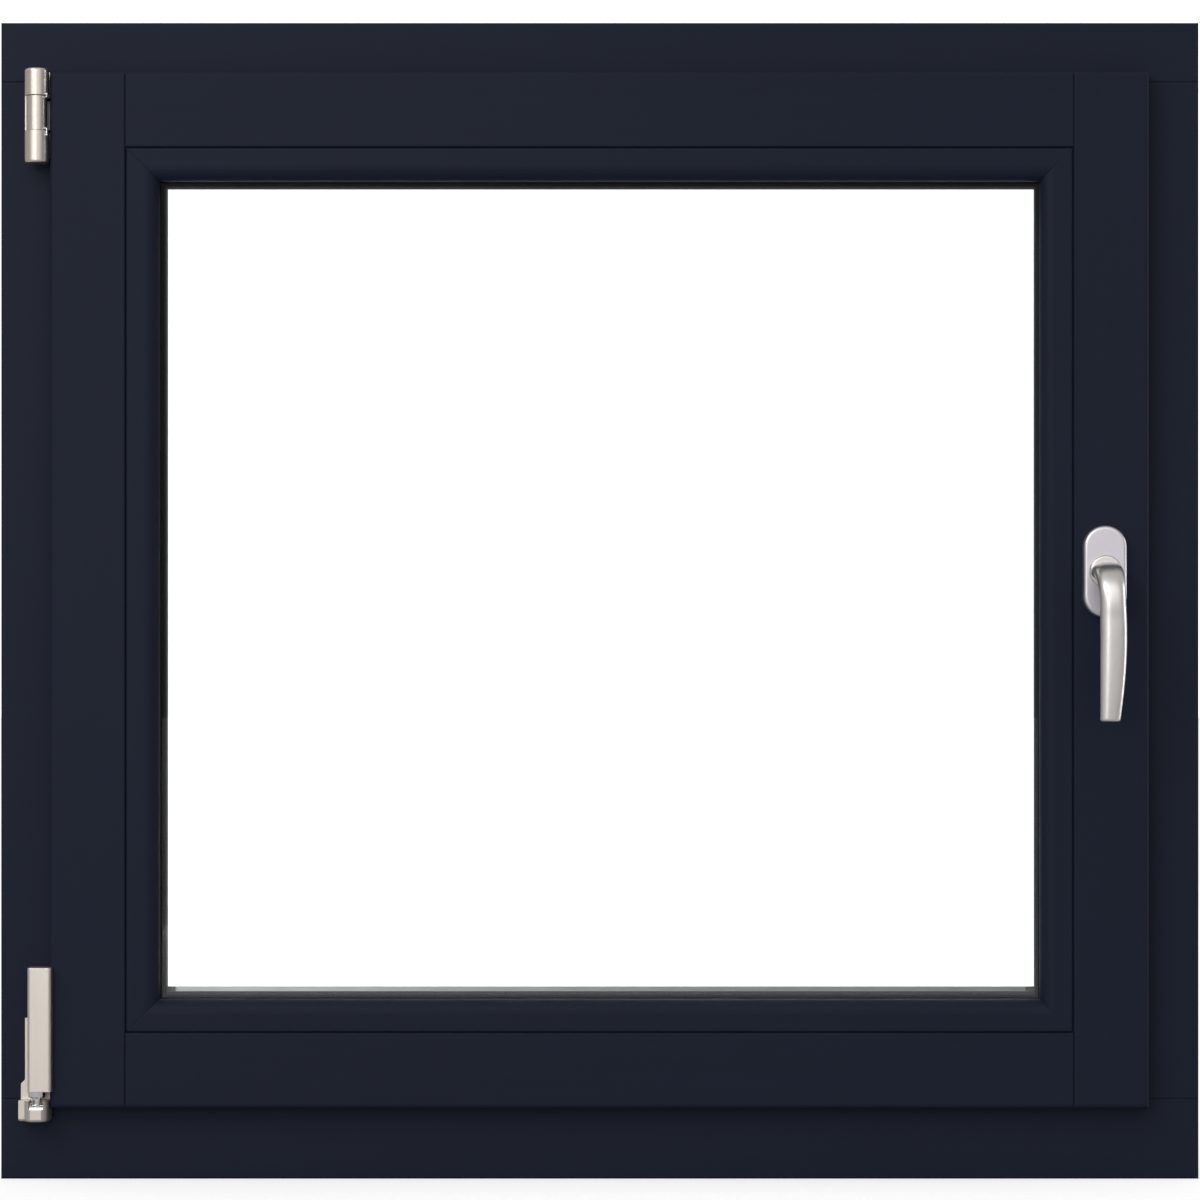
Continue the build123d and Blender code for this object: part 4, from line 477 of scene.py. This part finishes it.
def perforated_spacer(colour):
    """Dark warm-edge spacer bar with the rows of small breather holes that dry the cavity; the holes are
    not cut, their dark inside is painted shade.
    """
    made, tree, shader = start_material("perforated_spacer")
    place = object_place(tree)
    cells = add(tree, "ShaderNodeTexVoronoi", {"Scale": 420.0, "Randomness": 0.0})
    tree.links.new(place, cells.inputs["Vector"])
    holes = add(tree, "ShaderNodeMapRange", {"From Min": 0.22, "From Max": 0.30}, clamp=True)
    tree.links.new(cells.outputs["Distance"], holes.inputs["Value"])
    speck = use_group(tree, "speckle", {"Scale": 1200.0, "Patch Scale": 25.0})
    body = mix_colour(tree, speck.outputs["Patches"], shaded(colour, 0.8), colour)
    # Painted shade: the uncut breather holes are darkened to near-black.
    body = mix_colour(tree, holes.outputs[0], PAINTED_HOLE_SHADE, body)
    tree.links.new(body, shader.inputs["Base Color"])
    tree.links.new(varied(tree, speck.outputs["Patches"], 0.1, 0.42), shader.inputs["Roughness"])
    bump_on(tree, shader, holes.outputs[0], 0.00005)
    return made


# ---- helpers for pieces
def finish_nodes(material, names):
    """Gives CAD nodes a finish."""
    for name in names:
        if name not in NODES:
            raise RuntimeError("the window has no node named " + name)
        mesh = NODES[name].data
        mesh.materials.clear()
        mesh.materials.append(material)


# ---- operators
class WINDOW_OT_paint_timber(bpy.types.Operator):
    """Paints the frame, the sash and the glazing beads, with the grain along each member"""
    bl_idname = "window.paint_timber"
    bl_label = "Paint the timber"

    def execute(self, context):
        paint = context.scene.window_paint
        upright = painted_timber("paint_on_upright_timber", UPRIGHT_GRAIN, paint)
        level = painted_timber("paint_on_level_timber", LEVEL_GRAIN, paint)
        finish_nodes(upright, ("frame_jamb_left", "frame_jamb_right", "sash_stile_left",
                               "sash_stile_right", "glazing_bead_left", "glazing_bead_right"))
        finish_nodes(level, ("frame_head", "frame_sill", "sash_rail_top", "sash_rail_bottom",
                             "glazing_bead_top", "glazing_bead_bottom"))
        return {"FINISHED"}


class WINDOW_OT_glaze(bpy.types.Operator):
    """Finishes the panes, spacers, edge sealant, gaskets and setting blocks"""
    bl_idname = "window.glaze"
    bl_label = "Glaze the sash"

    def execute(self, context):
        float_glass = pane_glass(context.scene.window_glass)
        spacer = perforated_spacer(SPACER_COLOUR)
        sealant = moulded("edge_sealant", SEALANT_COLOUR, 0.55, depth=0.00012, scale=160.0)
        gasket = moulded("gasket_rubber", GASKET_COLOUR, 0.62, stretch=EXTRUSION)
        block = moulded("block_plastic", BLOCK_COLOUR, 0.42)
        finish_nodes(float_glass, ("glass_inner", "glass_middle", "glass_outer"))
        finish_nodes(spacer, ("glass_spacers",))
        finish_nodes(sealant, ("glass_edge_sealant",))
        finish_nodes(gasket, ("inner_glass_gasket", "outer_glass_gasket"))
        finish_nodes(block, ("setting_blocks",))
        return {"FINISHED"}


class WINDOW_OT_seal(bpy.types.Operator):
    """Finishes the lip seal and the middle seal"""
    bl_idname = "window.seal"
    bl_label = "Fit the seals"

    def execute(self, context):
        rubber = moulded("seal_rubber", SEAL_COLOUR, 0.68, depth=0.00003, scale=900.0, sheen=0.15)
        finish_nodes(rubber, ("lip_seal", "middle_seal"))
        return {"FINISHED"}


class WINDOW_OT_outside_rails(bpy.types.Operator):
    """Finishes the rain rail, the drip rail and their end caps"""
    bl_idname = "window.outside_rails"
    bl_label = "Finish the outside rails"

    def execute(self, context):
        metals = context.scene.window_metal
        drawn = metal("anodised_rail", metals.aluminium, 0.30, stretch=LEVEL_BRUSHING, brush=0.000012)
        caps = moulded("end_cap_plastic", END_CAP_COLOUR, 0.5, depth=0.00004)
        finish_nodes(drawn, ("sill_rain_rail", "sash_drip_rail"))
        finish_nodes(caps, ("rain_rail_end_caps", "drip_rail_end_caps"))
        return {"FINISHED"}


class WINDOW_OT_hinges(bpy.types.Operator):
    """Finishes the upper stay hinge and the lower corner hinge"""
    bl_idname = "window.hinges"
    bl_label = "Finish the hinges"

    def execute(self, context):
        metals = context.scene.window_metal
        brushed = UPRIGHT_BRUSHING
        barrel = metal("brushed_nickel_barrel", metals.barrel, 0.27, stretch=brushed, brush=0.000012)
        cover = metal("satin_nickel_cover", metals.nickel, 0.42, stretch=brushed, brush=0.000008)
        plate = metal("satin_nickel_plate", metals.nickel, 0.44)
        bright = metal("bright_steel", metals.bright, 0.14, stretch=TURNING, brush=0.000006)
        zinc = metal("zinc_plate_stay", metals.zinc, 0.38)
        finish_nodes(barrel, ("stay_bearing_caps", "stay_knuckle_cover"))
        finish_nodes(cover, ("corner_strap_cover",))
        finish_nodes(plate, ("stay_bearing", "corner_bearing"))
        finish_nodes(bright, ("stay_pin", "corner_pin", "tilt_axle", "stay_guide_stud",
                              "stay_retaining_clips"))
        finish_nodes(zinc, ("stay_arm", "corner_strap"))
        return {"FINISHED"}


class WINDOW_OT_drive_hardware(bpy.types.Operator):
    """Finishes the faceplates, rods, cams, strikers, gearbox and corner drives"""
    bl_idname = "window.drive_hardware"
    bl_label = "Finish the locking hardware"

    def execute(self, context):
        metals = context.scene.window_metal
        upright = metal("zinc_plate_upright", metals.zinc, 0.34, stretch=UPRIGHT_ROLLING)
        level = metal("zinc_plate_level", metals.zinc, 0.34, stretch=LEVEL_ROLLING)
        cast = metal("zinc_casting", shaded(metals.zinc, 0.85), 0.46, blast=0.00002)
        turned = metal("turned_cam_steel", metals.bright, 0.22)
        finish_nodes(upright, ("faceplate_right", "drive_rod_right"))
        finish_nodes(level, ("faceplate_top", "faceplate_bottom", "drive_rod_top", "drive_rod_bottom",
                             "stay_guide_rail"))
        finish_nodes(cast, ("corner_drives", "gearbox_housing", "lock_strikers", "tilt_striker",
                            "drive_gear"))
        finish_nodes(turned, ("locking_cams_right", "locking_cam_top", "locking_cam_bottom"))
        return {"FINISHED"}


class WINDOW_OT_handle(bpy.types.Operator):
    """Finishes the lever, its rosette and what is under it"""
    bl_idname = "window.handle"
    bl_label = "Finish the handle"

    def execute(self, context):
        metals = context.scene.window_metal
        blasted = {"blast": 0.0000035, "edge": 0.0006}
        lever = metal("satin_anodised_lever", metals.handle, metals.satin, **blasted)
        rosette = metal("satin_anodised_rosette", metals.rosette, metals.satin + 0.04, **blasted)
        spindle = metal("zinc_plate_spindle", metals.zinc, 0.36)
        base = moulded("rosette_base_plastic", ROSETTE_BASE_COLOUR, 0.5)
        finish_nodes(lever, ("handle_lever",))
        finish_nodes(rosette, ("handle_rosette",))
        finish_nodes(spindle, ("handle_spindle",))
        finish_nodes(base, ("rosette_base",))
        return {"FINISHED"}


class WINDOW_OT_fasteners(bpy.types.Operator):
    """Finishes the screws"""
    bl_idname = "window.fasteners"
    bl_label = "Finish the screws"

    def execute(self, context):
        metals = context.scene.window_metal
        heads = context.scene.window_fastener
        screw = metal("zinc_plate_screw", metals.zinc, heads.head_roughness)
        finish_nodes(screw, ("frame_screws", "hardware_screws", "rosette_screws"))
        return {"FINISHED"}


def floor_sheet():
    """A wide, level floor that fades into the surroundings."""
    mesh = bpy.data.meshes.new("floor")
    made = bmesh.new()
    squares = FLOOR_SQUARES
    bmesh.ops.create_grid(made, x_segments=squares, y_segments=squares, size=FLOOR_HALF_WIDTH)
    made.to_mesh(mesh)
    made.free()
    floor = bpy.data.objects.new("floor", mesh)
    bpy.context.scene.collection.objects.link(floor)
    return floor


def floor_material(settings):
    """A pale, faintly mottled floor that reads as white as the room beyond it."""
    made, tree, shader = start_material("pale_floor")
    mottle = add(tree, "ShaderNodeTexNoise", {"Scale": 2.5, "Detail": 5.0})
    tree.links.new(object_place(tree), mottle.inputs["Vector"])
    darker = shaded(settings.floor_colour, 0.985)
    body = mix_colour(tree, mottle.outputs[0], darker, settings.floor_colour)
    tree.links.new(body, shader.inputs["Base Color"])
    shader.inputs["Roughness"].default_value = 0.9
    shader.inputs["Specular IOR Level"].default_value = 0.0
    shader.inputs["Emission Color"].default_value = (1.0, 1.0, 1.0, 1.0)
    through_glass = add(tree, "ShaderNodeLightPath").outputs["Is Transmission Ray"]
    glow = math_node(tree, "MULTIPLY_ADD", through_glass, FLOOR_GLOW_THROUGH_GLASS, FLOOR_GLOW)
    glow = math_node(tree, "MULTIPLY", seen_directly(tree), glow)
    tree.links.new(glow, shader.inputs["Emission Strength"])
    return made


def seen_directly(tree):
    """1 where the room is looked at, through glass or not, and 0 where it only lights something."""
    path = add(tree, "ShaderNodeLightPath")
    seen = math_node(tree, "MAXIMUM", path.outputs["Is Camera Ray"], path.outputs["Is Transmission Ray"])
    bounced = math_node(tree, "ADD", path.outputs["Diffuse Depth"], path.outputs["Glossy Depth"])
    return math_node(tree, "MULTIPLY", seen, math_node(tree, "LESS_THAN", bounced, 0.5))


def build_world(settings):
    """A white room: bright where it is looked at, and as a light brightest in front of the window."""
    world = bpy.data.worlds.new("room")
    bpy.context.scene.world = world
    world.use_nodes = True
    tree = world.node_tree
    tree.nodes.clear()
    out = add(tree, "ShaderNodeOutputWorld")
    direction = add(tree, "ShaderNodeSeparateXYZ")
    tree.links.new(add(tree, "ShaderNodeTexCoord").outputs["Generated"], direction.inputs[0])
    shares = []
    for axis, share, smoothing in (("Y", ROOM_FRONT, "SMOOTHSTEP"), ("X", ROOM_SIDES, "LINEAR"),
                                   ("Z", ROOM_CEILING, "LINEAR")):
        node = add(tree, "ShaderNodeMapRange", share, interpolation_type=smoothing)
        tree.links.new(direction.outputs[axis], node.inputs["Value"])
        shares.append(node.outputs[0])
    strength = math_node(tree, "MULTIPLY", shares[0], shares[1])
    strength = math_node(tree, "MULTIPLY", strength, shares[2])
    path = add(tree, "ShaderNodeLightPath")
    glossy = path.outputs["Is Glossy Ray"]
    mirrored = math_node(tree, "MULTIPLY", path.outputs["Is Singular Ray"], glossy)
    kept = math_node(tree, "MULTIPLY_ADD", mirrored, settings.glass_reflection - 1.0, 1.0)
    strength = math_node(tree, "MULTIPLY", strength, kept)
    strength = math_node(tree, "MULTIPLY", strength, settings.room_light)
    lit = add(tree, "ShaderNodeBackground")
    tree.links.new(strength, lit.inputs["Strength"])
    white = add(tree, "ShaderNodeBackground", {"Color": (1.0, 1.0, 1.0, 1.0), "Strength": ROOM_WHITE})
    mixed = add(tree, "ShaderNodeMixShader")
    tree.links.new(seen_directly(tree), mixed.inputs[0])
    tree.links.new(lit.outputs[0], mixed.inputs[1])
    tree.links.new(white.outputs[0], mixed.inputs[2])
    tree.links.new(mixed.outputs[0], out.inputs["Surface"])


def soft_light(name, place, width, height, power):
    """A large flat lamp that faces the window."""
    lamp = bpy.data.lights.new(name, "AREA")
    lamp.shape = "RECTANGLE"
    lamp.size = width
    lamp.size_y = height
    lamp.energy = power
    held = bpy.data.objects.new(name, lamp)
    held.location = place
    held.rotation_euler = (Vector(LAMP_TARGET) - Vector(place)).to_track_quat("-Z", "Y").to_euler()
    bpy.context.scene.collection.objects.link(held)


def build_camera(settings, low, high):
    """A level camera in front of the window, a little right of its middle and below it."""
    lens = bpy.data.cameras.new("camera")
    lens.lens = settings.lens
    lens.sensor_width = 36.0
    lens.shift_x, lens.shift_y = CAMERA_SHIFT
    lens.clip_end = 200.0
    camera = bpy.data.objects.new("camera", lens)
    middle = (low.x + high.x) / 2
    camera.location = (middle + CAMERA_ASIDE, -settings.distance, CAMERA_HEIGHT)
    camera.rotation_euler = (pi / 2, 0.0, 0.0)
    bpy.context.scene.collection.objects.link(camera)
    bpy.context.scene.camera = camera


class WINDOW_OT_stage(bpy.types.Operator):
    """Builds the floor, the lights, the room and the camera"""
    bl_idname = "window.stage"
    bl_label = "Build the stage"

    def execute(self, context):
        settings = context.scene.window_stage
        low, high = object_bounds()
        floor = floor_sheet()
        floor.data.materials.append(floor_material(settings))
        floor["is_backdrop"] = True
        build_world(settings)
        for name, (place, width, height, setting, share) in LAMPS.items():
            soft_light(name, place, width, height, getattr(settings, setting) * share)
        build_camera(settings, low, high)
        context.scene.view_settings.view_transform = "Standard"
        return {"FINISHED"}


class WINDOW_PT_maker(bpy.types.Panel):
    """Lists the settings and the steps that finish the window"""
    bl_idname = "WINDOW_PT_maker"
    bl_label = "Window"
    bl_space_type = "VIEW_3D"
    bl_region_type = "UI"
    bl_category = "Window"

    def draw(self, context):
        layout = self.layout
        for group in SETTINGS:
            box = layout.box()
            held = getattr(context.scene, group)
            for key in held.__annotations__:
                box.prop(held, key)
        for operator in STEPS:
            layout.operator(operator.bl_idname)


SETTINGS = {
    "window_paint": WindowPaintSettings,
    "window_metal": WindowMetalSettings,
    "window_glass": WindowGlassSettings,
    "window_fastener": WindowFastenerSettings,
    "window_stage": WindowStageSettings,
}
STEPS = (WINDOW_OT_paint_timber, WINDOW_OT_glaze, WINDOW_OT_seal, WINDOW_OT_outside_rails,
         WINDOW_OT_hinges, WINDOW_OT_drive_hardware, WINDOW_OT_handle, WINDOW_OT_fasteners,
         WINDOW_OT_stage)


def register():
    """Registers the settings, the steps and the panel."""
    for name, group in SETTINGS.items():
        bpy.utils.register_class(group)
        setattr(bpy.types.Scene, name, bpy.props.PointerProperty(type=group))
    for kind in (*STEPS, WINDOW_PT_maker):
        bpy.utils.register_class(kind)


def unregister():
    """Takes them away again."""
    for kind in (WINDOW_PT_maker, *reversed(STEPS)):
        bpy.utils.unregister_class(kind)
    for name, group in SETTINGS.items():
        delattr(bpy.types.Scene, name)
        bpy.utils.unregister_class(group)


def main():
    """Finishes the window step by step."""
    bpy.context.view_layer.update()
    register()
    build_groups()
    for step in STEPS:
        space, name = step.bl_idname.split(".")
        getattr(getattr(bpy.ops, space), name)()


if __name__ == "__main__":
    main()
